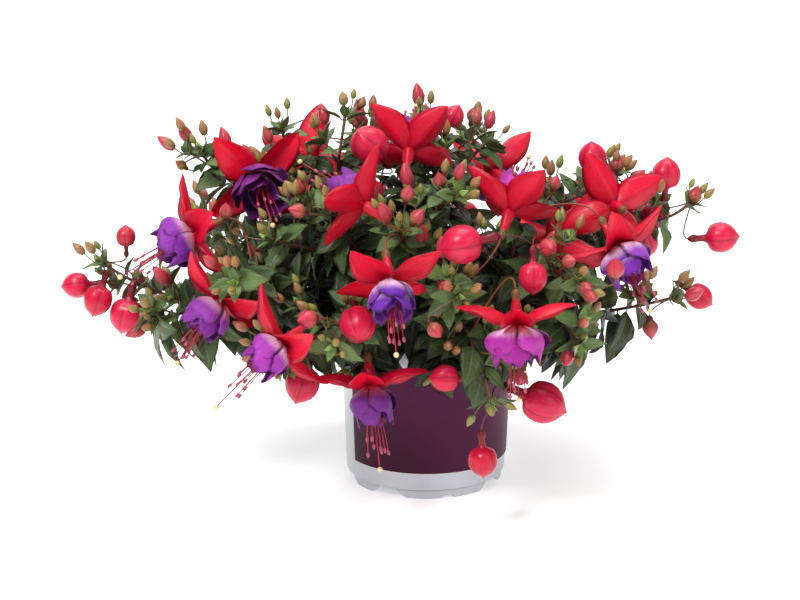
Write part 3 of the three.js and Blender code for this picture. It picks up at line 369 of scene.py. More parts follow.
def white_plastic():
    """Cool white plastic with the faint cloudiness of a thin moulding, dust low on its wall, and a
    dark line in the step between the wall and the foot, painted shade under the ledge with some dirt."""
    made, tree = shader_material("white_pot_plastic", 0.34, Subsurface_Weight=0.08, Subsurface_Scale=0.002)
    height = node(tree, "SeparateXYZ", {0: node(tree, "TexCoord").outputs["Object"]}).outputs[2]
    dust = noise(tree, 90.0, 6.0, Roughness=0.7)
    low_wall = less(tree, 1.0, ramp(tree, height, 0.0, 0.03))
    dusty = mixed(tree, times(tree, times(tree, low_wall, ramp(tree, dust, 0.5, 0.8)), 0.25),
                  "c0c2ca", "97938b")
    # Painted shade: a dark line in the step under the wall, where the ledge shades the foot, with some dirt.
    step = ramp(tree, apart(tree, height, (FLOOR_UNDER + 0.3) * MM), 0.2 * MM, 0.8 * MM)
    color = mixed(tree, times(tree, less(tree, 1.0, step), 0.75), dusty, "4c4d55")
    return dressed(made, *mottled(tree, color, 25.0, 0.03, 1400.0, 0.05),
                   plus(tree, times(tree, dust, 0.2), 0.24))


pot = pot_piece().make("nursery_pot", white_plastic(), "pot", "pot")
drain_angles = np.radians(FOOT_GAPS)
drilled(pot, np.stack([np.sin(drain_angles), -np.cos(drain_angles)], -1) * DRAIN_RING, DRAIN_RADIUS)


# Printed wrap
# A band of printed film round most of the wall, deep aubergine with a satin sheen. Its cut edge is
# pale, and a white strip of the wall shows between its ends.
WRAP_LOW, WRAP_HIGH, WRAP_THICK, WRAP_OFF = 18.7, 93.5, 0.6, 0.3
WRAP_CORNER, WRAP_EDGE = 0.25, 0.9
WRAP_FROM, WRAP_TO = -60, 216  # degrees from the front


def wrap_piece():
    """A closed band: the outline of a thin slab across the wall, carried round in equal turns."""
    middle = (WRAP_LOW + WRAP_HIGH) / 2
    section = rounded([(0, middle, 0), (0, WRAP_LOW, WRAP_CORNER), (WRAP_THICK, WRAP_LOW, WRAP_CORNER),
                       (WRAP_THICK, WRAP_HIGH, WRAP_CORNER), (0, WRAP_HIGH, WRAP_CORNER), (0, middle, 0)])
    section[:, 0] += wall_radius(section[:, 1]) + WRAP_OFF
    grid = turned(section, np.linspace(WRAP_FROM, WRAP_TO, 185))
    ends = [np.repeat(grid.mean(0, keepdims=True)[:, [k]], len(section), 0) for k in (0, -1)]
    capped = np.concatenate([ends[0], grid, ends[1]], 1)
    columns = capped.shape[1]
    across = np.interp(np.arange(columns), [1, columns - 2], [0, 1])
    along = (capped[..., 2] - WRAP_LOW) / (WRAP_HIGH - WRAP_LOW)
    return Piece().add(capped, maps={"film": joined(across, along)})


def printed_film():
    """Aubergine ink, with painted light that makes it lighter towards the top and the right, and a
    pale line along the cut edges. The film is a little wavy, and its varnish gives a soft sheen."""
    made, tree = shader_material("aubergine_film", 0.45, Coat_Weight=0.05, Coat_Roughness=0.3,
                                 Specular_IOR_Level=0.1)
    across, along = map_of(tree, "film")
    # Painted light: the ink is made lighter towards the top and towards the right, as if lit from above and
    # from the right.
    ink_with_painted_top_light = mixed(tree, ramp(tree, along, 0.1, 1.0), "350322", "50103c")
    ink_with_painted_light = mixed(tree, ramp(tree, across, 0.02, 0.5), ink_with_painted_top_light, mixed(tree, 0.5, ink_with_painted_top_light, "5b2148"))
    from_edge = math_of(tree, "MINIMUM", along, less(tree, 1.0, along))
    edge = less(tree, 1.0, ramp(tree, from_edge, 0.004, WRAP_EDGE / (WRAP_HIGH - WRAP_LOW)))
    fibre, relief = mottled(tree, ink_with_painted_light, 40.0, 0.06, 700.0, 0.06)
    return dressed(made, mixed(tree, edge, fibre, "d8cfc6"), relief)


wrap_piece().make("printed_wrap", printed_film(), "label_wrap", "label_wrap")


# Compost
# Dark, moist peat-like compost that fills the pot to below its rim, loosely heaped round the stem,
# with crumbs of bark on it.
COMPOST_EDGE, COMPOST_CROWN = 95.5, 99
COMPOST_OFF, CRUMBS, CRUMB_SEED, CRUMB_REACH, CRUMB_EDGE = 0.6, 260, 7, 52, 56
CRUMB_SMALL, CRUMB_LARGE = [1.2, 0.6, 0.4], [4.2, 1.9, 1.0]
TRUNK_X, TRUNK_Y = -3, 3


def draw(*keys):
    """A repeatable draw from 0 to 1 for a list of whole numbers, the same as in the solids. The
    last numbers only tell the draws for one thing apart."""
    mask = 0xFFFFFFFF
    h = 0x811C9DC5
    for key in keys:
        h = ((h ^ ((key + 1) & mask)) * 16777619) & mask
    h = ((h ^ (h >> 16)) * 0x85EBCA6B) & mask
    h = ((h ^ (h >> 13)) * 0xC2B2AE35) & mask
    return (h ^ (h >> 16)) / 4294967296


def spread_draw(*keys):
    """The same from -1 to 1."""
    return 2 * draw(*keys) - 1


def heap(radius, edge):
    """The height of the heap at a distance from the pot's axis."""
    return np.interp(radius, [0, 26, 46, edge], [COMPOST_CROWN, COMPOST_CROWN - 1, COMPOST_EDGE,
                                                 COMPOST_EDGE - 3])


def compost_piece():
    """A heap whose height falls from the crown to the edge, with lumps that are a sum of waves in x
    and y, over a plain underside. Round the trunk it dips a little."""
    inner = wall_radius(np.array([FLOOR_OVER, COMPOST_EDGE - 3])) - WALL - COMPOST_OFF
    radius = np.concatenate([np.linspace(0, 1, 34) ** 0.8 * (inner[1] - 1.2), [inner[1], inner[1]]])
    degrees = np.linspace(0, 360, 121)
    top = turned(joined(radius, heap(radius, inner[1])), degrees)
    x, y = top[..., 0], top[..., 1]
    lumps = (np.sin(0.31 * x + 1.3) * np.cos(0.27 * y) + 0.7 * np.sin(0.73 * x - 0.5 * y)
             + 0.5 * np.cos(1.3 * y + 0.9 * x) + 0.35 * np.sin(2.3 * x) * np.cos(2.1 * y + 0.4))
    dip = np.exp(-((x - TRUNK_X) ** 2 + (y - TRUNK_Y) ** 2) / 60)
    top[:-2, :, 2] += (0.8 * lumps - 0.6 - 2 * dip)[:-2]
    under = turned(np.array([[inner[1], COMPOST_EDGE - 4], [inner[0], FLOOR_OVER + 0.5],
                             [0, FLOOR_OVER + 0.5]]), degrees)
    return Piece().add(np.concatenate([top, under]), flip=True)


def crumbs_piece():
    """Crumbs of bark: eight-faced stones, each with its own length, width and turn, on the heap."""
    random = np.random.default_rng(CRUMB_SEED)
    radius = CRUMB_REACH * np.sqrt(random.uniform(0.02, 1, CRUMBS))
    angle = random.uniform(0, 2 * np.pi, CRUMBS)
    centre = joined(radius * np.cos(angle), radius * np.sin(angle), heap(radius, CRUMB_EDGE) + 0.2)
    size = random.uniform(CRUMB_SMALL, CRUMB_LARGE, (CRUMBS, 3))
    turn = random.uniform(0, np.pi, CRUMBS)[:, None, None]
    latitude, longitude = np.radians([-90, 0, 90])[:, None], np.radians([0, 90, 180, 270, 360])
    shape = joined(np.cos(latitude) * np.cos(longitude), np.cos(latitude) * np.sin(longitude),
                   np.sin(latitude))
    x, y, z = np.moveaxis(shape * size[:, None, None], -1, 0)
    stones = joined(x * np.cos(turn) - y * np.sin(turn), x * np.sin(turn) + y * np.cos(turn), z)
    return Piece().add(stones + centre[:, None, None])


def peat():
    """Near-black brown, matte, with coarse crumbs and fine fibre as relief."""
    made, tree = shader_material("moist_compost", 0.95)
    place = node(tree, "TexCoord").outputs["Object"]
    crumb = node(tree, "TexVoronoi", {"Vector": place, "Scale": 420.0}).outputs[0]
    color = mixed(tree, ramp(tree, crumb, 0.1, 0.7), "1b120c", "44301f")
    soil, fibre = mottled(tree, color, 130.0, 0.45, 900.0, 1.0)
    return dressed(made, soil, raised(tree, crumb, 0.8, 0.001, Normal=fibre))


PEAT = peat()
compost_piece().make("compost_fill", PEAT, "compost", "compost")
crumbs_piece().make("compost_crumbs", PEAT, "compost", "compost")


# Woody crown
# One woody stem stands in the compost and forks into four arms that carry all the shoots. It has
# brown bark, ridged lengthwise, with a knuckle where it forks.
TRUNK_FOOT, TRUNK_FORK = 72, 112
ARM_RADII = [3.6, 2.6]
TRUNK_RINGS = [(TRUNK_FOOT, 4.6), (84, 4.6), (92, 4.7), (97, 4.9), (100, 4.6), (105, 4.3), (109, 4.5),
               (TRUNK_FORK, 4.6), (TRUNK_FORK + 3, 3.4)]
ARMS = {"left": (-48, 0, 160), "right": (42, 6, 160), "front": (-2, -46, 150), "back": (2, 50, 156)}
UP = np.array([0, 0, 1.0])


def unit(vector):
    """The vector at a length of one."""
    return vector / np.linalg.norm(vector, axis=-1, keepdims=True)


class Curve:
    """A Bezier curve through its control points, measured in 200 chords."""

    def __init__(self, *controls):
        self.controls = [np.array(control, float) for control in controls]
        self.steps = np.linspace(0, 1, 201)
        chords = np.linalg.norm(np.diff(self.at(self.steps), axis=0), axis=1)
        self.lengths = np.concatenate([[0], np.cumsum(chords)])
        self.length = self.lengths[-1]

    def at(self, t):
        """The points at parameters t, where neighbouring controls are blended until one is left."""
        t = np.asarray(t, float)[..., None]
        points = self.controls
        while len(points) > 1:
            points = [(1 - t) * a + t * b for a, b in zip(points, points[1:])]
        return points[0]

    def parameter(self, share):
        """The parameter at a share of the length."""
        return np.interp(share * self.length, self.lengths, self.steps)

    def tangent(self, t):
        """The direction at a parameter."""
        return unit(self.at(min(1, t + 1e-4)) - self.at(max(0, t - 1e-4)))

    def first_part(self, end):
        """The part of a cubic curve up to a parameter."""
        a, b, _ = ((1 - end) * p + end * q for p, q in zip(self.controls, self.controls[1:]))
        return Curve(self.controls[0], a, (1 - end) * a + end * b, self.at(end))


class Stem:
    """A stem that is straight between joints on a curve. The joints are given as distances back
    from its tip, and its radius falls evenly."""

    def __init__(self, curve, radii, backs):
        self.curve, self.radii, self.length = curve, radii, curve.length
        self.shares = [0.0] + [1 - back / self.length for back in backs if back < self.length - 6]
        if self.shares[-1] < 1:
            self.shares.append(1.0)
        parameters = [curve.parameter(share) for share in self.shares]
        self.joints = np.array([curve.at(t) for t in parameters])
        self.tangents = np.array([curve.tangent(t) for t in parameters])

    def radius(self, share):
        """The radius at a share of the length."""
        return self.radii[0] + (self.radii[1] - self.radii[0]) * share

    def point(self, share):
        """The point at a share of the length."""
        return np.stack([np.interp(share, self.shares, self.joints[:, k]) for k in range(3)], -1)

    def path(self, spacing=3.0, ease=5.0):
        """Points along the stem, with its corners eased: each point is a mean over a short way."""
        share = np.linspace(0, 1, max(4, int(self.length / spacing)))
        way = np.minimum(ease / self.length, np.minimum(share, 1 - share))
        return share, (self.point(share - way) + 2 * self.point(share) + self.point(share + way)) / 4


def carried(paths, radii, sides, grooves=None):
    """Tubes: a circle carried along each path. Its first direction is square to the path and to
    the line that the path's tangents follow least. Both ends shrink to a point, which closes it."""
    paths = np.asarray(paths, float)
    paths = paths[None] if paths.ndim == 2 else paths
    radii = np.broadcast_to(radii, paths.shape[:2])
    tangents = unit(np.gradient(paths, axis=1))
    least = np.linalg.eigh(np.einsum("mni,mnj->mij", tangents, tangents))[1][:, :, 0]
    normal = least[:, None] - tangents * (tangents * least[:, None]).sum(-1, keepdims=True)
    normal = unit(normal)
    across = np.cross(tangents, normal)
    turn = np.linspace(0, 2 * np.pi, sides + 1)[:, None]
    ring = normal[:, :, None] * np.cos(turn) + across[:, :, None] * np.sin(turn)
    size = radii[:, :, None, None]
    if grooves is not None:
        size = size * grooves(np.arange(paths.shape[1])[:, None], turn[:, 0])[None, ..., None]
    body = paths[:, :, None] + ring * size
    ends = [np.repeat(paths[:, [k], None], sides + 1, 2) for k in (0, -1)]
    return np.concatenate([ends[0], body, ends[1]], 1)


def bark_ridges(row, turn):
    """A circle's radius times a sum of waves: ridges that wander slowly along the wood."""
    return 1 + 0.07 * np.sin(5 * turn + 0.25 * row) + 0.05 * np.sin(9 * turn - 0.4 * row)


def bark(name, low, high):
    """Bark with long fibres: noise stretched along the wood gives its colour and its relief."""
    made, tree = shader_material(name, 0.75)
    color = mixed(tree, ramp(tree, noise(tree, 700.0, 5.0, Distortion=1.5), 0.35, 0.65), low, high)
    return dressed(made, *mottled(tree, color, 150.0, 0.3, 1200.0, 0.7))


fork = np.array([TRUNK_X, TRUNK_Y, TRUNK_FORK], float)
arms = {}
for arm_name, arm_tip in ARMS.items():
    arm_end = np.array(arm_tip, float)
    arm_curve = Curve(fork, fork + 0.55 * (arm_end - fork) - 10 * UP, arm_end)
    arms[arm_name] = Stem(arm_curve, ARM_RADII, [arm_curve.length * k for k in (0.66, 0.33, 0)])

crown = Piece()
trunk_z, trunk_radii = np.array(TRUNK_RINGS).T
crown.add(carried(joined(TRUNK_X, TRUNK_Y, trunk_z), trunk_radii, 20, bark_ridges))
for arm in arms.values():
    arm_share, arm_path = arm.path()
    crown.add(carried(arm_path, arm.radius(arm_share), 12, bark_ridges))
crown.make("woody_crown", bark("woody_bark", "33201a", "6b4a38"), "crown", "crown")


# Shoots with leaves
# Slender arching stems, reddish brown and swollen at their nodes, with opposite pairs of pointed
# leaves on short stalks, bright and small at the tips and grey-green once they are grown. Smaller
# leaves from side buds, and short side shoots that end in a rosette, fill the mound.
SHOOT_RADIUS, SHOOT_TIP, FORK_SCALE, SIDE_CLEAR, END_CLEAR = 2.2, 1.0, 0.8, 0.6, 0.3
FIRST_NODE, INTERNODE, LEAFY_REACH = 8, 21.5, 0.76
LEAF_YOUNG, LEAF_GROWN, LEAF_ATTEMPTS = 24, 41, 8
LEAF_HALF_WIDTH, LEAF_FOLD, LEAF_THICK, LEAF_MATCH = 0.29, 0.26, 0.7, 0.1
SIDE_STEP, SIDE_TRIES, SIDE_LONGEST, SIDE_REACH, RIM_STEM = 6.5, 5, 44, 0.94, 135
TUFT_LENGTH = 16
SPRIG_FIRST, SPRIG_STEP, SPRIG_LENGTH, SPRIG_ROOM, SPRIG_TOP, SPRIG_TRIES = 17, 24, 21, 7, 238, 8
SPRIG_RADII, SPRIG_REACH, KNOT_REACH = [0.8, 0.6], 0.85, 1.8
# The heart of the mound, and for the painted shade on the leaves: how far from the heart it reaches and over
# what distance it fades out.
MOUND_HEART, PAINTED_SHADE_REACH, PAINTED_SHADE_SHELL = np.array([0, 0, 100.0]), 130, 55
# The pairs of leaves at a growing tip: their length, how far they lean, how far back they start.
TIP_PAIRS = [(22, 62, 4), (15, 42, 2), (8, 16, 0)]
# Leaves that hang over the front of the rim: the stem's keys, the share along it and the tips.
RIM_LEAVES = {(8, 2): (0.78, [(-17, -86, 96), (-4, -88, 90)]), (9, 2): (0.85, [(-14, -84, 102)]),
              (7, 0): (0.3, [(-12, -92, 112)])}
# Each shoot: its arm, the share along it, its tip, its slope there in degrees, how far its middle
# is lifted, whether it ends in a tuft of buds, and its side shoots in the same way.
SHOOTS = {
    "left": ("left", 0.72, (-219, -20, 158), 30, -10, True, {
        "mid": (0.3, (-180, -62, 130), -5, 4, False),
        "front": (0.12, (-128, -100, 168), 20, 6, False),
        "rim": (0.04, (-88, -48, 108), -55, 8, False),
    }),
    "left_up": ("left", 1, (-152, -5, 231), 62, 0, False, {
        "top": (0.1, (-55, 10, 253), 70, 2, True),
        "top_left": (0.34, (-98, 14, 243), 70, 0, False),
    }),
    "top": ("back", 0.5, (-2, 24, 248), 80, 10, False, {
        "right": (0.35, (42, 30, 231), 55, 4, False),
    }),
    "right_top": ("right", 1, (125, -8, 218), 52, 0, True, {
        "up": (0.3, (178, -10, 197), 42, -4, True),
    }),
    "right_mid": ("right", 0.62, (166, -36, 138), 12, -6, True, {
        "low": (0.28, (97, -106, 128), -20, 6, False),
        "rim": (0.1, (88, -44, 110), -55, 8, False),
    }),
    "right_front": ("right", 0.74, (98, -112, 170), 5, 4, True, {
        "up": (0.4, (62, -58, 204), 60, 0, False),
        "rim": (0.2, (62, -84, 116), -50, 8, False),
    }),
    "front_left_up": ("front", 0.86, (-64, -79, 212), 68, 4, False, {
        "left": (0.3, (-102, -76, 190), 40, 6, False),
    }),
    "front_top": ("front", 1, (-18, -90, 200), 60, 0, False, {
        "right": (0.4, (14, -70, 222), 72, 4, False),
    }),
    "front_right": ("front", 0.78, (19, -126, 166), 15, 8, True, {
        "low": (0.25, (41, -116, 92), -50, 18, True),
        "rim": (0.1, (10, -94, 106), -60, 8, False),
        "rim_right": (0.16, (40, -84, 110), -50, 8, False),
    }),
    "front_left": ("front", 0.6, (-60, -134, 136), -5, 10, True, {
        "low": (0.4, (-96, -104, 116), -30, 4, False),
        "rim": (0.12, (-44, -90, 106), -60, 8, False),
    }),
    "back_left": ("left", 0.58, (-158, 84, 152), 12, 4, False, {
        "up": (0.35, (-96, 118, 184), 35, 4, False),
        "rim": (0.12, (-78, 62, 108), -55, 8, False),
    }),
    "back_right": ("right", 0.84, (150, 78, 162), 20, 4, False, {
        "low": (0.35, (104, 122, 132), -10, 4, False),
        "rim": (0.12, (82, 58, 110), -55, 8, False),
    }),
    "back_top": ("back", 0.9, (-48, 74, 224), 62, 2, False, {
        "right": (0.35, (36, 78, 228), 62, 2, False),
    }),
    "back": ("back", 0.72, (-8, 138, 166), 12, 8, True, {
        "low_left": (0.2, (-68, 132, 118), -25, 8, False),
        "low_right": (0.3, (58, 122, 100), -45, 12, False),
    }),
}


def square_to(direction):
    """A unit vector square to a direction, level unless the direction is upright."""
    reference = np.array([1.0, 0, 0]) if abs(direction @ UP) > 0.95 else UP
    return unit(np.cross(direction, reference))


def turned_about(vector, axis, degrees):
    """The vector turned about an axis: v cos a + (axis x v) sin a + axis (v . axis) (1 - cos a)."""
    angle = np.radians(degrees)
    return (vector * np.cos(angle) + np.cross(axis, vector) * np.sin(angle)
            + axis * (vector @ axis) * (1 - np.cos(angle)))


def stem_curve(start, outward, tip, rise, lift):
    """A cubic curve that leaves outwards and reaches its tip at a slope of rise degrees."""
    reach = np.linalg.norm(tip - start)
    level = unit((tip - start) * [1, 1, 0])
    arrive = level * np.cos(np.radians(rise)) + UP * np.sin(np.radians(rise))
    return Curve(start, start + outward * reach * 0.3 + UP * lift,
                 tip - arrive * reach * 0.32 + UP * lift, tip)


def leafy_stem(whole, root_radius, keys, tuft):
    """A stem with nodes at even distances back from its tip. One with a tuft of buds stops short,
    but its tip stays at the end of the whole curve."""
    curve = whole.first_part(whole.parameter(1 - TUFT_LENGTH / whole.length)) if tuft else whole
    count = max(1, int(np.ceil((LEAFY_REACH * curve.length - FIRST_NODE) / INTERNODE)))
    nodes = [FIRST_NODE + INTERNODE * n for n in range(count)]
    stem = Stem(curve, [root_radius, SHOOT_TIP], [*nodes[::-1], 0])
    stem.whole, stem.nodes, stem.keys, stem.tuft = whole, nodes, keys, tuft
    stem.tip = (whole.at(1), whole.tangent(1)) if tuft else (stem.joints[-1], stem.tangents[-1])
    return stem


def shoot_stems(name, shoot, index):
    """The main stem of a shoot and its side stems. A shoot from the very end of an arm carries it
    on, and others leave it sideways."""
    arm_name, at, tip, rise, lift, tuft, sides = shoot
    arm, tip = arms[arm_name], np.array(tip, float)
    joint, heading = arm.point(at), arm.curve.tangent(arm.curve.parameter(at))
    outward = unit(tip - joint - heading * ((tip - joint) @ heading)) if at < 1 else heading
    start = joint + outward * (arm.radius(at) + SIDE_CLEAR if at < 1 else END_CLEAR)
    curve = stem_curve(start, outward, tip, rise, lift)
    main = leafy_stem(curve, SHOOT_RADIUS, [index, 0], tuft and f"buds_{name}")
    stems = [main]
    for k, (side_name, (at, tip, rise, lift, tuft)) in enumerate(sides.items()):
        start, tip = main.point(at), np.array(tip, float)
        tangent = main.curve.tangent(main.curve.parameter(at))
        curve = stem_curve(start, unit(unit(tip - start) + tangent), tip, rise, lift)
        stems.append(leafy_stem(curve, main.radius(at) * FORK_SCALE, [index, k + 1],
                                tuft and f"buds_{name}_{side_name}"))
    return stems


def points_of(mesh):
    """The corners of a CAD node's mesh, in millimetres from the middle of the pot."""
    points = np.empty(len(mesh.vertices) * 3)
    mesh.vertices.foreach_get("co", points)
    return points.reshape(-1, 3) / MM - POT_MIDDLE


@functools.cache
def corners_of(name):
    """A tree of the corners of a CAD node, in which a place can be looked up."""
    points = points_of(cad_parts[name].data)
    tree = KDTree(len(points))
    for k, point in enumerate(points):
        tree.insert(point, k)
    tree.balance()
    return tree


def side_directions(stem):
    """The outward directions of the four sides of a stem at each of its joints."""
    normal, sides = square_to(stem.tangents[0]), []
    for tangent in stem.tangents:
        normal = unit(normal - tangent * (normal @ tangent))
        ring = [turned_about(normal, tangent, 90 * k) for k in range(5)]
        sides.append([unit(ring[k] + ring[k + 1]) for k in range(4)])
    return np.array(sides)


def leaf_size(back, stem):
    """A leaf is longer the further it is from the growing tip, and on a longer stem."""
    grown = min(1, max(0, (back - FIRST_NODE) / INTERNODE / 2))
    return (LEAF_YOUNG + (LEAF_GROWN - LEAF_YOUNG) * grown) * min(1, 0.8 + stem.length / 600)


def leaf_pose(root, tangent, outward, size, attempt, *keys):
    """How a leaf lies. It turns its face away from the heart of the mound and hangs a little."""
    swing = [spread_draw(*keys, attempt, n) for n in range(5)]
    lean = np.radians(60 + 16 * swing[1])
    heading = tangent * np.cos(lean) + turned_about(outward, tangent, 20 * swing[0]) * np.sin(lean)
    away = unit(root - MOUND_HEART)
    heading = unit(heading - 0.5 * away * (heading @ away) - 0.25 * UP)
    face = away + 0.45 * UP
    face = face - heading * (face @ heading)
    if np.linalg.norm(face) < 0.3:
        face = face + 0.5 * square_to(heading)
    face = turned_about(unit(face), heading, 25 * swing[2])
    return dict(root=root, heading=heading, face=face, droop=np.radians(42 + 20 * swing[4]),
                length=size * (1 + 0.12 * swing[3]) * (1 - 0.06 * attempt), luck=draw(*keys, attempt, 9))


def leaf_sheet(leaves, t, s, half_width):
    """Blades without thickness. The midrib is an arc that bends down by the leaf's droop, and the
    edges rise beside it in a fold: centre(t) + side s w(t) + normal (fold |s| w(t) + a slow wave)."""
    def field(key):
        """A value or a direction of every leaf, spread over the grid."""
        values = np.array([leaf[key] for leaf in leaves])
        return values[:, None, None, :] if values.ndim == 2 else values[:, None, None, None]

    t, s = t[:, None, None], s[:, None]
    length, droop, luck, face, heading = map(field, ("length", "droop", "luck", "face", "heading"))
    bend = droop * t
    centre = (field("root") + heading * length * np.sin(bend) / droop
              - face * length * (1 - np.cos(bend)) / droop)
    normal = face * np.cos(bend) + heading * np.sin(bend)
    side = np.cross(face, heading)
    half = length * half_width(t)
    wave = 0.035 * length * np.abs(s) * np.sin(2 * np.pi * (1.6 * t + luck) + 1.2 * np.sign(s))
    return centre + side * s * half + normal * (LEAF_FOLD * np.abs(s) * half + wave * t * (1 - t) * 3), normal


def leaf_width(t):
    """A thin stalk that opens into a pointed oval, as a share of the leaf's length."""
    u = np.clip((t - 0.09) / 0.91, 0, 1)
    return 0.016 * (1 - u) + LEAF_HALF_WIDTH * np.sin(np.pi * u ** 0.74) ** 1.05 * (1 - 0.3 * u)


BLADE_THICK, STALK_THICK, STALK_SHARE = 0.2, 0.35, 0.14
LEAF_ROWS = np.array([0, 0.08, 0.16, 0.3, 0.46, 0.64, 0.82, 1])
LEAF_COLUMNS = np.array([-1, -0.5, 0, 0.5, 1])


def add_leaves(piece, leaves):
    """Leaves as closed lenses: the upper and the lower face part in the middle by the leaf's
    thickness and meet at its edge."""
    sheet, normal = leaf_sheet(leaves, LEAF_ROWS, LEAF_COLUMNS, leaf_width)
    stalk = np.clip(1 - LEAF_ROWS / STALK_SHARE, 0, 1)
    thick = (BLADE_THICK + STALK_THICK * stalk) * (LEAF_ROWS < 1)
    thick = thick[:, None, None] * (1 - LEAF_COLUMNS**2)[:, None]
    blade = joined((LEAF_COLUMNS + 1) / 2, LEAF_ROWS[:, None])
    age, luck = (np.array([leaf[key] for leaf in leaves])[:, None, None] for key in ("age", "luck"))
    # deep: painted shade, from 1 near the heart of the mound to 0 at its outside, that darkens the leaves
    # there.
    outward = np.linalg.norm((sheet[:, -1, 2] - MOUND_HEART) * [0.75, 1, 1], axis=-1)
    deep = np.clip((PAINTED_SHADE_REACH - outward) / PAINTED_SHADE_SHELL, 0, 1)[:, None, None]
    for under in (0, 1):
        piece.add(sheet + normal * thick * (1 - 2 * under), flip=not under, age=age, luck=luck, deep=deep,
                  maps={"blade": blade, "faces": np.array([under, 0.5])})


def kept_leaves(stem, corners):
    """The leaves that the solids have. Each was drawn again until it had room, so the attempt
    whose tip is a corner of the solid is the one that was kept."""
    leaves, sides = [], side_directions(stem)
    for number, back in enumerate(stem.nodes):
        joint = [k for k, share in enumerate(stem.shares) if abs((1 - share) * stem.length - back) < 0.01]
        for side in (number % 2, number % 2 + 2):
            for attempt in range(LEAF_ATTEMPTS if joint else 0):
                leaf = leaf_pose(stem.joints[joint[0]], stem.tangents[joint[0]], sides[joint[0]][side],
                                 leaf_size(back, stem), attempt, *stem.keys, number, side)
                sheet, normal = leaf_sheet([leaf], np.array([1.0]), np.array([0.0]), leaf_width)
                tip = sheet[0, 0, 0] + normal[0, 0, 0] * LEAF_THICK / 2
                if corners.find(tip)[2] < LEAF_MATCH:
                    leaves.append({**leaf, "age": min(1, number / 3 + 0.2)})
                    break
    return leaves


def side_leaves(stem):
    """Candidates for the smaller leaves from side buds: pairs at short steps along the stem, each
    turned a little further than the last, and rolled every way. On a low stem they are longer and
    hang."""
    sides, groups, low = side_directions(stem), [], stem.joints[-1][2] < RIM_STEM
    for n in range(int(stem.length * SIDE_REACH / SIDE_STEP)):
        back = 4 + SIDE_STEP * n
        share = 1 - back / stem.length
        nearest = int(np.argmin(np.abs(np.array(stem.shares) - share)))
        tangent = stem.tangents[nearest]
        for k in range(2):
            keys = [*stem.keys, n, k]
            outward = turned_about(sides[nearest][(n + 2 * k) % 4], tangent, 45 * spread_draw(*keys, 77))
            size = leaf_size(back, stem) * (0.66 + 0.34 * draw(*keys, 78))
            size = min(1.7 * size, SIDE_LONGEST) if low else size
            age = min(1, 0.1 + back / 60 + 0.25 * draw(*keys, 79))
            tries = [leaf_pose(stem.point(share), tangent, outward, size, attempt, *stem.keys, 40 + n, k)
                     for attempt in range(SIDE_TRIES)]
            groups.append([{**rolled(leaf, -0.6 if low else 0.4, 55 * spread_draw(*keys, 80)), "age": age}
                           for leaf in tries])
    return groups


def rolled(leaf, lift, degrees):
    """The leaf lifted or lowered a little and turned about its own midrib."""
    heading = unit(leaf["heading"] + lift * UP)
    face = unit(leaf["face"] - heading * (leaf["face"] @ heading))
    return {**leaf, "heading": heading, "face": turned_about(face, heading, degrees)}


def shell_of(leaf):
    """The flat blade of a leaf, clear of its own stem, to test for room."""
    sheet, _ = leaf_sheet([leaf], np.array([0.24, 0.45, 0.75, 1]), np.array([-1.0, 0, 1]), leaf_width)
    return BVHTree.FromPolygons(sheet.reshape(-1, 3).tolist(), quads_of(4, 3).tolist())


def solid_tree():
    """One tree of all the solids of the frame, in which a blade's room can be tested."""
    points, faces, count = [], [], 0
    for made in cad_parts.values():
        mesh = made.data
        mesh.calc_loop_triangles()
        corners = np.empty(len(mesh.loop_triangles) * 3, np.int32)
        mesh.loop_triangles.foreach_get("vertices", corners)
        points.append(points_of(mesh))
        faces.append(corners.reshape(-1, 3) + count)
        count += len(mesh.vertices)
    return BVHTree.FromPolygons(np.concatenate(points).tolist(), np.concatenate(faces).tolist())


def roomy(groups, solids, settled):
    """From each group the first leaf that touches neither the solids nor a leaf that is settled."""
    chosen = []
    for group in groups:
        for leaf in group:
            middle = leaf["root"] + leaf["heading"] * leaf["length"] / 2
            shell = shell_of(leaf)
            near = (other for other, spot, reach in settled
                    if np.linalg.norm(spot - middle) < (leaf["length"] + reach) / 2)
            if shell.overlap(solids) or any(shell.overlap(other) for other in near):
                continue
            settled.append((shell, middle, leaf["length"]))
            chosen.append(leaf)
            break
    return chosen


def side_sprigs(stem):
    """Short side shoots that reach out of the mound and end in a rosette of their own. Each is
    drawn again until its end has room."""
    sprigs = []
    for n in range(int(stem.length * SPRIG_REACH / SPRIG_STEP)):
        start = stem.point(1 - (SPRIG_FIRST + SPRIG_STEP * n) / stem.length)
        for attempt in range(SPRIG_TRIES):
            keys = [*stem.keys, 90 + n, attempt]
            sway = np.array([spread_draw(*keys, k) for k in range(3)])
            heading = unit(unit(start - MOUND_HEART) + 0.5 * UP + 0.7 * sway)
            end = start + heading * SPRIG_LENGTH * (0.65 + 0.7 * draw(*keys, 3))
            if end[2] < SPRIG_TOP and solids.find_nearest(Vector(end))[3] > SPRIG_ROOM:
                sprig = Stem(Curve(start, end), SPRIG_RADII, [0])
                sprig.keys, sprig.nodes, sprig.tip = keys, [0], (sprig.joints[-1], sprig.tangents[-1])
                sprigs.append(sprig)
                break
    return sprigs


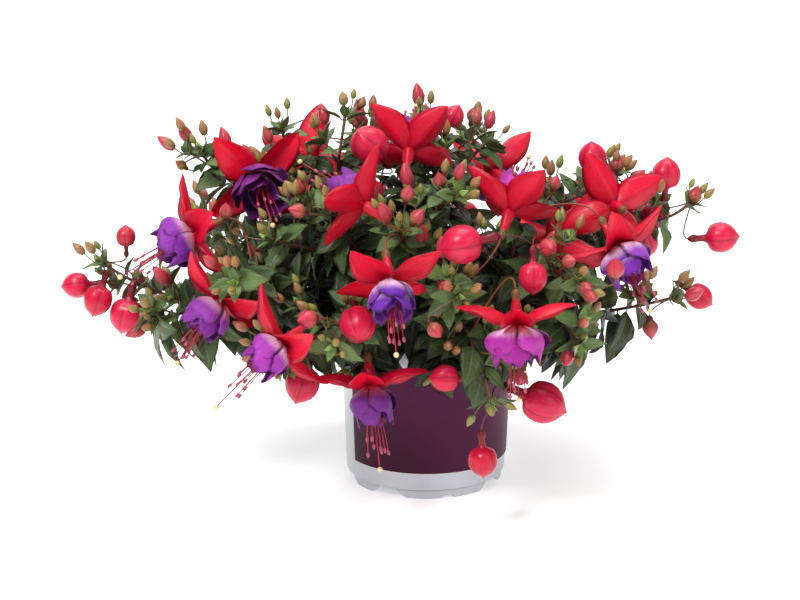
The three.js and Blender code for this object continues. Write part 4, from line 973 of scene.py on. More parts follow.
def tip_leaves(stem):
    """The youngest leaves: three small pairs that close over the growing tip."""
    tip, tangent = stem.tip
    first, leaves = square_to(tangent), []
    for pair, (size, lean, back) in enumerate(TIP_PAIRS):
        for side in (0, 180):
            keys = [*stem.keys, pair, side]
            outward = turned_about(first, tangent, 90 * pair + side + 20 * spread_draw(*keys))
            heading = tangent * np.cos(np.radians(lean)) + outward * np.sin(np.radians(lean))
            leaves.append(dict(root=tip - tangent * back, heading=heading, droop=0.35,
                               face=unit(tangent - heading * (tangent @ heading)),
                               length=size * (1 + 0.2 * spread_draw(*keys, 3)),
                               luck=draw(*keys, 4), age=0.05 + 0.08 * (2 - pair)))
    return leaves


def rim_leaves(stem):
    """The leaves that a stem hangs over the front of the rim, with their faces forwards."""
    share, tips = RIM_LEAVES.get(tuple(stem.keys), (0, []))
    leaves, root, front = [], stem.point(share), np.array([0, -0.96, 0.28])
    for reach in np.array(tips).reshape(-1, 3) - root:
        heading = unit(reach)
        leaves.append(dict(root=root, heading=heading, face=unit(front - heading * (front @ heading)),
                           droop=0.4, length=np.linalg.norm(reach), luck=0.3, age=0.8))
    return leaves


def stem_skin():
    """Young wood: reddish brown, greener where it is thin, satin, with fine long fibres."""
    made, tree = shader_material("young_stem", 0.5, Coat_Weight=0.1)
    color = mixed(tree, ramp(tree, value_of(tree, "age"), 0.0, 0.7), "6b5a30", "4a1d18")
    return dressed(made, *mottled(tree, color, 220.0, 0.3, 1500.0, 0.4))


def leaf_skin():
    """A leaf's face from its own map: a pale midrib and arching side veins over a green that
    deepens with age, painted shade that darkens both faces to near black in the heart of the mound,
    darker patches, a dull red edge, and an underside that is pale and matte. The veins are sunk, and
    the blade swells between them."""
    made, tree = shader_material("fuchsia_leaf", 0.42, Specular_IOR_Level=0.25)
    (u, v), under = map_of(tree, "blade"), map_of(tree, "faces")[0]
    age, luck, deep = (value_of(tree, name) for name in ("age", "luck", "deep"))
    out = times(tree, apart(tree, u), 2.0)
    midrib = less(tree, 1.0, ramp(tree, out, 0.03, 0.13))
    swell = zigzag(tree, less(tree, times(tree, v, 9.0), times(tree, out, 2.2)))
    vein = times(tree, ramp(tree, swell, 0.4, 0.5), less(tree, 1.0, ramp(tree, out, 0.8, 1.0)))
    lines = math_of(tree, "MAXIMUM", midrib, times(tree, vein, 0.55))
    grown = mixed(tree, luck, "26351c", "51643c")
    fresh = mixed(tree, ramp(tree, age, 0.0, 0.16), "8fae55", "5d7340")
    green = mixed(tree, ramp(tree, age, 0.12, 0.4), fresh, grown)
    # Painted shade: leaves in the heart of the mound are darkened almost to black.
    green_with_painted_shade = mixed(tree, times(tree, deep, 0.95), green, "060a05")
    veined = mixed(tree, times(tree, lines, 0.16), green_with_painted_shade, "8ba077")
    above = mixed(tree, times(tree, ramp(tree, out, 0.88, 1.0), 0.35), veined, "5d3a2a")
    # The underside is darkened by the same painted shade.
    pale = mixed(tree, deep, mixed(tree, luck, "566b45", "666642"), "0c130a")
    below = mixed(tree, times(tree, lines, 0.5), pale, "b0a884")
    face, patches = mottled(tree, mixed(tree, under, above, below), 110.0, 0.22, 1300.0, 0.25)
    height = less(tree, times(tree, less(tree, 0.5, swell), 0.6), lines)
    gloss = plus(tree, times(tree, under, 0.25), plus(tree, times(tree, luck, 0.12), 0.32))
    return dressed(made, face, raised(tree, height, 0.4, 0.0006, Normal=patches), gloss)


STEM_SKIN, LEAF_SKIN = stem_skin(), leaf_skin()
solids = solid_tree()
shoots = {name: shoot_stems(name, shoot, index) for index, (name, shoot) in enumerate(SHOOTS.items())}
sprigs = {name: [sprig for stem in stems for sprig in side_sprigs(stem)] for name, stems in shoots.items()}
settled = []
for name, stems in shoots.items():
    corners = corners_of(f"shoot_{name}")
    grown = [leaf for stem in stems for leaf in kept_leaves(stem, corners)]
    sides = roomy([group for stem in stems for group in side_leaves(stem)], solids, settled)
    tips = [leaf for stem in stems + sprigs[name] for leaf in tip_leaves(stem)]
    hanging = [leaf for stem in stems for leaf in rim_leaves(stem)]
    leaves, wood = Piece(), Piece()
    add_leaves(leaves, grown + sides + tips + hanging)
    leaves.make(f"shoot_{name}_leaves", LEAF_SKIN, "foliage", f"shoot_{name}")
    for stem in stems + sprigs[name]:
        share, path = stem.path()
        away = np.abs((1 - share[:, None]) * stem.length - np.array(stem.nodes)).min(1)
        knots = 1 + 0.35 * np.exp(-(away / KNOT_REACH) ** 2)
        radii = stem.radius(share) * 0.92 * knots
        wood.add(carried(path, radii, 8), age=np.clip(radii / SHOOT_RADIUS, 0, 1).mean())
    wood.make(f"shoot_{name}_stems", STEM_SKIN, "foliage", f"shoot_{name}")


# Open flowers
# Each hangs on a thin stalk from an ovary and a short red tube, with four waxy red sepals that
# bend back over a bell of violet petals in three whorls, veined with red from its pale base. Eight
# crimson stamens and a longer style with a pale head reach out of it.

# Each flower: its mouth, where it faces, its turn, its sepals' spread and curl in degrees, and the
# width of its bell.
BLOOMS = [
    ((-113, -36, 221), (0.25, -0.92, -0.3), 45, 98, 8, 1.25),
    ((-152, -62, 190), (-0.85, -0.3, -0.35), 30, 100, 10, 1.1),
    ((-40, -90, 216), (-0.72, 0.5, 0.45), 12, 74, -6, 0.9),
    ((-12, -22, 236), (0.1, 0.84, 0.53), 45, 66, -12, 0.62),
    ((53, -80, 209), (0.28, 0.67, 0.69), 45, 64, -14, 1),
    ((125, -38, 202), (-0.2, 0.9, -0.1), 65, 76, -6, 0.8),
    ((122, -86, 189), (0.45, -0.5, -0.7), 35, 108, 16, 1.1),
    ((-25, -136, 180), (0.1, -0.7, -0.7), 40, 98, -12, 0.95),
    ((-91, -132, 137), (-0.75, -0.35, -0.55), 15, 104, 16, 0.95),
    ((56, -138, 152), (0.03, -0.25, -0.97), 0, 102, -18, 1.3),
    ((-37, -108, 101), (0.12, -0.35, -0.93), 25, 100, -20, 0.95),
    ((-134, -86, 152), (-0.6, -0.35, -0.7), 0, 100, 8, 1),
    ((84, -30, 180), (0.1, 0.3, -0.9), 23, 95, 10, 0.95),
    ((-80, 92, 206), (-0.25, 0.65, -0.6), 20, 100, 12, 1.1),
    ((46, 110, 192), (0.25, 0.6, -0.75), 35, 100, -12, 1.2),
    ((102, 88, 170), (0.4, 0.5, -0.75), 10, 104, 14, 1),
]
# How far each bell goes from blue-violet to red-violet, how deep its colour is, how far its pale
# base reaches, and how far its rim draws in again.
BELLS = [(0.8, 0.7, 0, 0), (0.4, 0.2, 0.4, 0.5), (0.5, 0.4, 0.3, 0.5), (0.5, 0.4, 0.3, 0.5),
         (1, 0.1, 0.3, 0.6), (0.4, 0.6, 0.2, 0.5), (0.25, 0.1, 0.8, 0.6), (0.1, 0.1, 1, 0),
         (0.65, 0.05, 0.35, 0.6), (1, 0, 0.1, 0.75), (0.3, 0.7, 0.1, 0.5), (0.45, 0.3, 0.4, 0.4),
         (0.5, 0.5, 0.3, 0.5), (0.35, 0.2, 0.6, 0.3), (0.8, 0.3, 0.4, 0.7), (0.2, 0.4, 0.5, 0.2)]
SEPAL_LENGTH, SEPAL_BASE, SEPAL_BELLY, SEPAL_THICK, SEPAL_CUP = 38, 3.2, 10.6, 0.8, 0.48
# The rings of the tube and the ovary: the place along the axis and the radius.
NECK_RINGS = [(0.6, 3.7), (-0.8, 4.3), (-2.5, 4.3), (-5, 4.0), (-8, 3.5), (-11, 2.9), (-13.6, 2.4),
              (-15, 2.35), (-16.2, 2.75), (-17.8, 2.95), (-19.4, 2.6), (-20.6, 1.7), (-21, 0.8)]
PETAL_RADIUS, PETAL_DEPTH, PETAL_SPIRAL, PETAL_THICK = 14.5, 25, 0.12, 0.55
# The whorls of petals: how many, the step and the start of their turn, half their angle, and their
# width and depth in parts of the bell's.
WHORLS = [(4, 90, 45, 50, 1, 0.74), (4, 90, 8, 50, 0.86, 1.02), (3, 120, 20, 62, 0.5, 0.94)]
# A stamen and the style: the length, how far it spreads, how far out it starts, how far it sags,
# its radius, how far its paint is along the scale, the length of its end and the end's radii.
STAMEN = (43, 7, 1.2, 3, 0.34, 0.5, 3.6, [0.5, 0.95, 1.0, 0.98, 0.85, 0.4])
STYLE = (58, 0, 0, 5, 0.42, 1.0, 3.4, [0.8, 1.5, 1.75, 1.7, 1.3, 0.5])
TUBE_MOUTH, TUBE_END = 4.8, -21
STALK_RADIUS, STALK_THIN, STALK_GAP, STALK_MATCH = 0.65, 0.6, 0.6, 0.04
SEATS, FIRST_SEAT, SEAT_STEPS, SEAT_TRIES = 28, 18, 48, 240


class Flower:
    """The frame of an open flower: its mouth, its axis and two directions square to that."""

    def __init__(self, number, at, faces, turn, spread, curl, bell):
        self.number, self.spread, self.curl, self.bell = number, spread, curl, bell
        self.mouth, self.axis = np.array(at, float), unit(np.array(faces, float))
        self.first = turned_about(square_to(self.axis), self.axis, turn)
        self.second = np.cross(self.axis, self.first)

    def around(self, degrees):
        """The directions outwards from the axis at some turns about it."""
        angle = np.radians(np.asarray(degrees, float))[..., None]
        return self.first * np.cos(angle) + self.second * np.sin(angle)


def lens(piece, sheet, normal, thick, maps, **values):
    """A closed blade from a sheet: its two faces part by the thickness along its normal and meet
    at its edges, where the thickness is nought."""
    for low in (0, 1):
        piece.add(sheet + normal * thick[..., None] * (0.5 - low), flip=bool(low),
                  maps={**maps, "faces": np.array([low, 0.5])}, **values)


def tube_map(tube, low=0.0, high=1.0):
    """A map that runs once round a tube, and from low to high along it."""
    rows, columns = tube.shape[-3:-1]
    return joined(np.linspace(0, 1, columns), np.linspace(low, high, rows)[:, None])


def add_sepal(piece, flower, k):
    """A sepal whose heading turns evenly from its root to its tip. Its half width is
    base (1 - t)^2 + belly sin(pi t^0.85)^0.75, and its edges rise by the square of the width."""
    out, number = flower.around(90 * k), flower.number
    spread = flower.spread + 6 * spread_draw(number, k, 1)
    curl = flower.curl + 8 * spread_draw(number, k, 2)
    t = np.linspace(0, 1, 15)
    angle = np.radians(spread + curl * (2 * t - 1))[:, None]
    heading = flower.axis * np.cos(angle) + out * np.sin(angle)
    steps = np.vstack([np.zeros(3), heading[1:] * SEPAL_LENGTH / (len(t) - 1)])
    centre = flower.mouth + out * TUBE_MOUTH * np.sqrt(0.5) - flower.axis * 0.4 + np.cumsum(steps, 0)
    normal = (flower.axis * np.sin(angle) - out * np.cos(angle))[:, None]
    side = np.cross(flower.axis, out)
    s = np.linspace(-1, 1, 9)[:, None]
    half = (SEPAL_BASE * (1 - t) ** 2 + SEPAL_BELLY * np.sin(np.pi * t**0.85) ** 0.75)[:, None, None]
    half = np.where(t[:, None, None] < 1, half, 0)
    cup = SEPAL_CUP + 0.2 * (1 - t[:, None, None]) ** 3
    wave = 2 * np.pi * (1.3 * t[:, None, None] + draw(number, k, 5)) + 1.5 * np.sign(s)
    ripple = 0.1 * np.sin(wave) * np.abs(s) ** 1.5
    crease = 0.1 * np.exp(-(s / 0.16) ** 2)
    sheet = centre[:, None] + side * s * half + normal * half * (cup * s**2 + ripple - crease)
    thick = SEPAL_THICK * (1 - s[None, :, 0] ** 4) * np.clip(1.3 - t, 0.5, 1)[:, None] * (t < 1)[:, None]
    lens(piece, sheet, normal, thick, {"blade": joined((s[:, 0] + 1) / 2, t[:, None])},
         luck=draw(number, k, 6), part=0)


def add_neck(piece, flower):
    """The tube and the ovary: a profile of rings along the axis, slightly four-sided."""
    along, radius = np.array(NECK_RINGS).T
    path = flower.mouth + flower.axis * along[:, None]
    tube = carried(path, radius, 16, lambda row, turn: 1 + 0.04 * np.cos(4 * turn))
    part = np.concatenate([[0], np.interp(-along, [13.5, 15.5], [0, 1]), [1]])[None, :, None]
    piece.add(tube, maps={"blade": tube_map(tube, 0, 0.3), "faces": np.array([1, 0.5])}, luck=0.5, part=part)


def stem_seats(point):
    """The places on all stems where a stalk may end, nearest first."""
    share = (np.arange(SEATS) + FIRST_SEAT) / SEAT_STEPS
    stems = [(f"shoot_{name}", stem) for name, group in shoots.items() for stem in group]
    spots = np.stack([stem.point(share) for _, stem in stems])
    order = np.argsort(np.linalg.norm(spots - point, axis=-1), axis=None, kind="stable")
    for k in order[:SEAT_TRIES]:
        row, column = divmod(int(k), SEATS)
        yield stems[row][0], spots[row, column], stems[row][1].radius(share[column])


def kept_seat(choices):
    """The first choice whose stalk's middle is as far from a corner of the solid as its radius,
    because that is the stalk which the solid has."""
    for host, spots, curve in choices:
        if all(abs(corners_of(host).find(spot)[2] - STALK_RADIUS) < STALK_MATCH for spot in spots):
            return host, curve
    return choices[0][0], choices[0][2]


def flower_stalk(flower, host):
    """The stalk leaves the ovary backwards and bends to its seat on a stem."""
    start, choices = flower.mouth + flower.axis * TUBE_END, []
    for _, spot, radius in stem_seats(start - flower.axis * 8):
        end = spot + unit(start - spot) * (radius + STALK_GAP)
        leave = start - flower.axis * np.linalg.norm(end - start) * 0.4
        middle = Curve(start, leave, end).at(0.5)
        choices.append((host, [middle, end], Curve(start + flower.axis * 1.5, leave, end)))
    return kept_seat(choices)[1]


def add_stalk(piece, curve):
    """A thin stalk along a curve, a little thicker at its far end."""
    t = np.linspace(0, 1, 12)
    tube = carried(curve.at(t), STALK_THIN * (1 + 0.25 * t**4), 8)
    piece.add(tube, maps={"blade": tube_map(tube), "faces": np.array([1, 0.5])}, luck=0.3, part=0.8)


def add_petal(piece, flower, key, degrees, half_degrees, scale, depth, **values):
    """A petal of the bell: around its middle angle by s, outwards by radius sin(c pi t^0.8) and a
    spiral step, and forwards by t^1.3. Its rim is rounded, flared by t^7 and ruffled by a sum of
    two waves."""
    s, rows = np.linspace(-1, 1, 9), np.linspace(0, 1, 10)[:, None]
    t = rows * (1 - 0.3 * s**2 - 0.04 * s)
    phase = 2 * np.pi * draw(flower.number, key, 21)
    out = flower.around(degrees + s * half_degrees * (0.86 + 0.14 * t))
    size = PETAL_RADIUS * flower.bell * scale
    ruffle = t**3 * (0.07 * np.sin(2.2 * np.pi * s + phase) + 0.05 * np.sin(5.3 * s - 2 * phase))
    close = 0.6 + 0.2 * BELLS[flower.number][3]
    radius = np.hypot(size * np.sin(close * np.pi * np.clip(t, 0, 1) ** 0.8), 3.1 * (1 - t))
    radius = radius * (1 + PETAL_SPIRAL * s) + size * (ruffle + 0.14 * t**7)
    forward = (0.4 + 2 * np.sqrt(np.clip(6 * t, 0, 1)) + depth * t**1.3
               + 1.1 * t**4 * np.cos(3 * np.pi * s + phase))
    sheet = flower.mouth + out * radius[..., None] + flower.axis * forward[..., None]
    normal = unit(np.cross(np.gradient(sheet, axis=1), np.gradient(sheet, axis=0)))
    thick = PETAL_THICK * (1 - s**6) * ((rows > 0) & (rows < 1))
    lens(piece, sheet, normal, thick, {"blade": joined((s + 1) / 2, t)}, **values)


def add_bell(piece, flower):
    """Four broad outer petals, four narrower ones in the gaps, and three rolled up at the heart."""
    tones, key = dict(zip(("hue", "deep", "pale"), BELLS[flower.number])), 0
    for whorl, (number, step, first, half, scale, depth) in enumerate(WHORLS):
        for k in range(number):
            add_petal(piece, flower, key, first + step * k, half, scale, PETAL_DEPTH * depth,
                      luck=draw(flower.number, k, 32 + whorl), **tones)
            key += 1


def add_threads(piece, flower):
    """Stamens and style: threads that spread and sag a little, with an oblong anther or a round
    head at the end, as a profile of rings along each."""
    t, first = np.linspace(0, 1, 14), 360 * draw(flower.number, 8)
    paths, radii, heads = [], [], []
    for k in range(9):
        length, spread, root, sag, radius, tone, end_length, rings = STYLE if k == 8 else STAMEN
        out = flower.around(first + 45 * k)
        reach = length * (1 - 0.3 * draw(flower.number, k, 41))
        spread *= 1 - 0.5 * draw(flower.number, k, 42) * (k > 0)
        start = flower.mouth + flower.axis * 1.5 + out * root
        end = flower.mouth + flower.axis * reach + out * spread - UP * sag
        bow = start + (end - start) * 0.5 + UP * 1.5 + out * spread * 0.15
        thread = Curve(start, bow, end).at(t)
        ahead = unit(thread[-1] - thread[-2]) * end_length
        paths.append(np.vstack([thread, thread[-1] + ahead * np.linspace(0.02, 1, 6)[:, None]]))
        radii.append([radius] * len(t) + rings)
        heads.append([0.0] * (len(t) + 1) + [tone] * 7)
    piece.add(carried(np.array(paths), np.array(radii), 8), head=np.array(heads)[:, :, None])


def vein_group():
    """An effect that sepals and petals share: lines from root to tip, spaced over the u of a blade
    and bent a little by slow noise. They come and go along the blade."""
    group, given, result = new_group("veins", {"Across": 0.5, "Number": 12.0}, {"Lines": "Float"})
    wobble = noise(group, 120.0, 2.0)
    line = zigzag(group, plus(group, times(group, given["Across"], given["Number"]),
                              times(group, wobble, 2.2)))
    lines = times(group, ramp(group, line, 0.3, 0.5), ramp(group, wobble, 0.3, 0.6))
    group.links.new(lines, result["Lines"])
    return group


VEINS = vein_group()


def veins(tree, across, number):
    """The vein effect placed in a material with its own number of lines."""
    return node(tree, "Group", {"Across": across, "Number": number}, node_tree=VEINS).outputs["Lines"]


def sepal_skin():
    """Waxy red, deeper on the outside, with painted shade that darkens the edges and the root, fine
    veins that run from root to tip, and a satin bloom. The ovary behind it turns green."""
    made, tree = shader_material("red_sepal", 0.4, Coat_Weight=0.12, Coat_Roughness=0.18,
                                 Subsurface_Weight=0.08, Subsurface_Scale=0.002, Specular_IOR_Level=0.2)
    (u, v), under = map_of(tree, "blade"), map_of(tree, "faces")[0]
    lines = veins(tree, u, 15.0)
    base = mixed(tree, value_of(tree, "luck"), "cc0426", "dc0a34")
    faces = mixed(tree, times(tree, under, 0.5), base, "b8082c")
    # Painted shade: each sepal darkened at its edges, where it curls, and at its root, where it meets the
    # tube.
    edge = math_of(tree, "MAXIMUM", ramp(tree, apart(tree, u), 0.2, 0.5),
                   less(tree, 1.0, ramp(tree, v, 0.0, 0.3)))
    edge_and_root_shaded = mixed(tree, times(tree, edge, 0.55), faces, "96001a")
    veined = mixed(tree, times(tree, lines, 0.35), edge_and_root_shaded, "8a0012")
    ovary = mixed(tree, value_of(tree, "part"), veined, "6a4a2a")
    skin, relief = mottled(tree, ovary, 140.0, 0.14, 1600.0, 0.12)
    return dressed(made, skin, raised(tree, lines, 0.35, 0.0004, Normal=relief))


def petal_skin():
    """Thin, crinkled and satin: white and pink at the base with red veins, then violet that each
    flower and each petal has a little bluer or redder, darker inside, and a curled rim."""
    made, tree = shader_material("violet_petal", 0.5, Sheen_Weight=0.03, Sheen_Roughness=0.5,
                                 Subsurface_Weight=0.1, Subsurface_Scale=0.0015, Specular_IOR_Level=0.2)
    (u, v), under = map_of(tree, "blade"), map_of(tree, "faces")[0]
    hue, luck, deep, reach = (value_of(tree, name) for name in ("hue", "luck", "deep", "pale"))
    lines = veins(tree, u, 9.0)
    blue, red = mixed(tree, luck, "501e98", "8646b8"), mixed(tree, luck, "921882", "b63aa4")
    tone = mixed(tree, deep, mixed(tree, hue, blue, red), "440a4c")
    pale = mixed(tree, ramp(tree, v, 0.04, 0.24), "e0355a", mixed(tree, deep, "e6c4e4", "7a1a5e"))
    body = mixed(tree, ramp(tree, less(tree, v, times(tree, reach, 0.3)), 0.12, 0.5), pale, tone)
    inside = times(tree, under, times(tree, ramp(tree, v, 0.25, 0.75), 0.6))
    inner = mixed(tree, inside, body, "3a0c50")
    curled = mixed(tree, deep, "481468", "9a3cae")
    rim = mixed(tree, times(tree, ramp(tree, v, 0.84, 1.0), 0.45), inner, curled)
    fade = less(tree, 1.0, ramp(tree, v, 0.1, 0.75))
    veined = mixed(tree, times(tree, times(tree, lines, fade), 0.7), rim, "b3123c")
    skin, relief = mottled(tree, veined, 160.0, 0.18, 900.0, 0.2)
    return dressed(made, skin, raised(tree, lines, 0.4, 0.0005, Normal=relief))


def thread_skin():
    """Crimson threads, dusty pink anthers and a cream head on the style."""
    made, tree = shader_material("stamen", 0.5)
    head = value_of(tree, "head")
    anther = mixed(tree, ramp(tree, head, 0.2, 0.45), "98062c", "a04058")
    color = mixed(tree, ramp(tree, head, 0.7, 0.95), anther, "d8c08c")
    return dressed(made, *mottled(tree, color, 500.0, 0.3, 2500.0, 0.5))


SEPAL_SKIN, PETAL_SKIN, THREAD_SKIN = sepal_skin(), petal_skin(), thread_skin()
for number, bloom in enumerate(BLOOMS):
    flower, name = Flower(number, *bloom), f"bloom_{number + 1:02d}"
    calyx, bell, threads = Piece(), Piece(), Piece()
    for k in range(4):
        add_sepal(calyx, flower, k)
    add_neck(calyx, flower)
    add_stalk(calyx, flower_stalk(flower, f"{name}_calyx"))
    calyx.make(f"{name}_sepals", SEPAL_SKIN, "sepals", f"{name}_calyx")
    add_bell(bell, flower)
    bell.make(f"{name}_petals", PETAL_SKIN, "corolla", f"{name}_corolla")
    add_threads(threads, flower)
    threads.make(f"{name}_stamens", THREAD_SKIN, "corolla", f"{name}_corolla")


# Buds
# Plump red buds on thin stalks, with four seams where the sepals meet, a small beak, a short tube
# and a green-red ovary. The youngest are small and olive green, and three tiny ones stand at each
# growing tip.

# Each bud: its middle, where it points and its width.
BUDS = [
    ((-237, -20, 142), (-1, 0, -0.1), 17),
    ((-221, -35, 136), (-0.3, -0.2, -0.9), 19),
    ((-203, -30, 124), (-0.25, -0.1, -1), 21.5),
    ((-203, -15, 175), (0, 0, 1), 13),
    ((-38, -38, 244), (-0.5, -0.5, 0.7), 24),
    ((19, 30, 248), (0.5, 0, 1), 14),
    ((111, -15, 230), (-0.1, -0.1, 1), 18),
    ((162, -5, 216), (0.05, 0, 1), 19),
    ((200, -10, 173), (1, 0, 0.05), 20),
    ((184, -30, 137), (0.8, -0.1, -0.5), 17),
    ((157, 12, 184), (0.5, -0.2, -0.6), 19),
    ((21, -124, 199), (-0.9, -0.4, -0.1), 24),
    ((-45, -128, 147), (0.1, -0.9, -0.45), 22),
    ((-82, -90, 95), (-0.35, -0.2, -1), 22.5),
    ((11, -118, 108), (-1, -0.25, 0.1), 17),
    ((76, -102, 86), (0.9, -0.2, -0.35), 26),
    ((36, -120, 52), (0.05, -0.1, -1), 18),
    ((67, -119, 176), (0, -0.3, -1), 18),
    ((-13, -98, 225), (0.2, -0.3, 1), 9.5),
    ((-76, -145, 156), (-0.6, -0.7, 0.1), 12),
    ((77, -108, 193), (0.2, -0.9, 0.1), 11.5),
    ((-7, -107, 212), (0.5, -0.3, 0.8), 10),
    ((8, -78, 229), (-0.2, -0.3, 1), 9),
    ((90, -110, 184), (0.5, -0.6, 0.3), 9),
    ((101, -116, 168), (0.4, -0.8, 0.1), 9.5),
    ((119, -124, 183), (-0.1, -0.5, 1), 12),
    ((-53, -95, 218), (0.2, -0.4, 1), 8.5),
    ((84, -48, 220), (0.3, -0.2, 1), 8.5),
    ((128, -12, 224), (0.15, 0, 1), 10),
    ((142, -8, 214), (0.7, -0.1, 0.8), 10),
    ((181, -10, 202), (0.3, 0, 1), 10),
    ((151, -36, 117), (0.1, -0.2, -1), 11),
    ((4, -148, 150), (0.5, -0.8, -0.4), 10),
    ((60, -114, 107), (-0.1, -0.9, -0.2), 10),
    ((-83, -93, 213), (-0.8, -0.4, 0.3), 10),
    ((-131, -72, 207), (0, -0.3, 1), 9),
    ((-165, -5, 222), (-0.7, 0, 0.5), 7),
    ((-141, -5, 236), (0.4, 0, 1), 7.5),
    ((-44, 12, 261), (0.5, 0, 1), 7),
    ((-166, 92, 136), (-0.5, 0.4, -0.9), 19),
    ((-34, 148, 146), (-0.3, 0.6, -0.8), 20),
    ((30, 152, 145), (0.2, 0.7, -0.8), 21),
    ((-14, 152, 180), (-0.1, 0.7, 0.7), 13),
    ((158, 88, 142), (0.4, 0.2, -1), 18),
    ((-46, 84, 232), (-0.2, 0.3, 1), 12),
    ((34, 86, 236), (0.3, 0.2, 1), 10),
    ((-100, 128, 178), (-0.3, 0.9, 0.2), 12),
]
LARGE_BUD, TUFT_HUB, TUFT_REACH, TUFT_RADII = 12.5, 2, 42, (1.0, 1.25)
BUD_STALK, TINY_STALK = 0.5, 0.42
# Rings along a large, a small and a tiny bud: places along its axis and radii, in parts of its own
# radius.
LARGE_PROFILE = [(1.3, 0.0), (1.22, 0.07), (1.1, 0.26), (0.92, 0.55), (0.68, 0.8), (0.36, 0.98), (0, 1.05),
                 (-0.4, 1.0), (-0.7, 0.88), (-0.88, 0.66), (-0.97, 0.42), (-1.08, 0.28), (-1.3, 0.23),
                 (-1.6, 0.22), (-1.78, 0.27), (-1.98, 0.28), (-2.16, 0.19), (-2.3, 0.08)]
SMALL_PROFILE = [(1.62, 0.0), (1.5, 0.08), (1.22, 0.28), (0.86, 0.6), (0.45, 0.88), (0.05, 1.0),
                 (-0.35, 0.92), (-0.66, 0.7), (-0.86, 0.5), (-1.02, 0.42), (-1.2, 0.44), (-1.38, 0.36),
                 (-1.5, 0.2)]
TINY_PROFILE = [(0.2, 0.55), (0.7, 0.84), (1.4, 1.0), (2.2, 0.82), (2.9, 0.45), (3.4, 0.12)]
TIP_BUDS, TIP_REACH, TIP_ACROSS = 3, 15, 5.6


def seams(row, turn):
    """The bud's radius over its turn: four shallow grooves, and four full sides between them."""
    return 1 - 0.09 * np.abs(np.cos(2 * turn)) ** 14 + 0.02 * np.abs(np.sin(2 * turn))


def add_bud(piece, at, points, across):
    """A bud's profile of rings along its axis, in parts of its radius."""
    axis = unit(np.array(points, float))
    profile = np.array(LARGE_PROFILE if across > LARGE_BUD else SMALL_PROFILE)[::-1] * across / 2
    body = carried(np.array(at, float) + axis * profile[:, :1], profile[:, 1], 24, seams)
    luck = draw(*(int(round(value)) & 1023 for value in at))
    piece.add(body, maps={"bud": tube_map(body)}, age=bud_age(across), luck=luck)


def bud_age(across):
    """A bud's ripeness from its width."""
    return np.clip((across - 5) / 11, 0, 1)


def bud_stalk(at, points, across):
    """The stalk leaves the bud backwards and bends to the hub of a near tuft, coming to it from
    ahead, or else to a seat on a stem. It is given with the node that has it."""
    axis = unit(np.array(points, float))
    start = np.array(at, float) + axis * (-2.3 * across / 2 if across > LARGE_BUD else -0.75 * across)
    behind, choices = start - axis * 5, []
    tufts = [stem for group in shoots.values() for stem in group if stem.tuft]
    hubs = [stem.tip[0] - stem.tip[1] * TUFT_HUB for stem in tufts]
    nearest = int(np.argmin(np.linalg.norm(hubs - behind, axis=1)))
    if np.linalg.norm(hubs[nearest] - behind) < TUFT_REACH:
        hub, ahead = hubs[nearest], tufts[nearest].tip[1]
        reach = np.linalg.norm(hub - start)
        curve = Curve(start + axis, start - axis * reach * 0.4, hub + ahead * reach * 0.4, hub)
        return tufts[nearest].tuft, curve
    for host, spot, _ in stem_seats(behind):
        leave = start - axis * np.linalg.norm(spot - start) * 0.4
        middle = Curve(start, leave, spot).at(0.5)
        choices.append((host, [middle], Curve(start + axis, leave, spot)))
    return kept_seat(choices)


def bud_skin():
    """Waxy skin: olive green when small, then coral, then pink-red, greener at the base, with dark
    seams and faint pale streaks from base to beak."""
    made, tree = shader_material("fuchsia_bud", 0.36, Coat_Weight=0.15, Coat_Roughness=0.2,
                                 Subsurface_Weight=0.08, Subsurface_Scale=0.002, Specular_IOR_Level=0.25)
    (u, v), age, luck = map_of(tree, "bud"), value_of(tree, "age"), value_of(tree, "luck")
    streak = zigzag(tree, plus(tree, times(tree, u, 28.0), times(tree, noise(tree, 160.0, 2.0), 2.0)))
    flushed = mixed(tree, ramp(tree, v, 0.3, 0.8), "76623a", "ae3644")
    olive = mixed(tree, ramp(tree, v, 0.5, 0.95), "6c7d36", mixed(tree, luck, "7f8444", "946a48"))
    young = mixed(tree, ramp(tree, age, 0.05, 0.3), olive, flushed)
    red = mixed(tree, ramp(tree, age, 0.45, 0.9), young, mixed(tree, luck, "b80a30", "c81a44"))
    streaked = mixed(tree, times(tree, ramp(tree, streak, 0.3, 0.5), 0.05), red, "f08a8c")
    low = less(tree, 1.0, ramp(tree, v, 0.25, 0.5))
    based = mixed(tree, times(tree, low, 0.9), streaked, "560f14")
    seam = ramp(tree, zigzag(tree, times(tree, u, 4.0)), 0.42, 0.5)
    seamed = mixed(tree, times(tree, seam, 0.7), based, "7c0a1e")
    return dressed(made, *mottled(tree, seamed, 150.0, 0.16, 1500.0, 0.1))


def tip_buds(stem):
    """Three tiny buds at a growing tip, and their widths: a profile of rings on a short stalk that
    leaves the tip sideways and turns up."""
    tip, tangent = stem.tip
    first, paths, radii, widths = square_to(tangent), [], [], []
    for k in range(TIP_BUDS):
        outward = turned_about(first, tangent, 120 * k + 90 * spread_draw(*stem.keys, k, 61))
        heading = unit(0.9 * tangent + outward + 0.5 * UP)
        reach = TIP_REACH * (0.55 + 0.45 * draw(*stem.keys, k, 62))
        stalk = Curve(tip - tangent * 2, tip + outward * reach * 0.5, tip + heading * reach)
        stalk = stalk.at(np.linspace(0, 1, 6))
        widths.append(TIP_ACROSS * (0.75 + (0.45 if k else 1) * draw(*stem.keys, k, 63)))
        profile = np.array(TINY_PROFILE) * widths[-1] / 2
        paths.append(np.vstack([stalk, stalk[-1] + unit(stalk[-1] - stalk[-2]) * profile[:, :1]]))
        radii.append(np.concatenate([np.full(6, TINY_STALK), profile[:, 1]]))
    return carried(np.array(paths), np.array(radii), 8), np.array(widths)


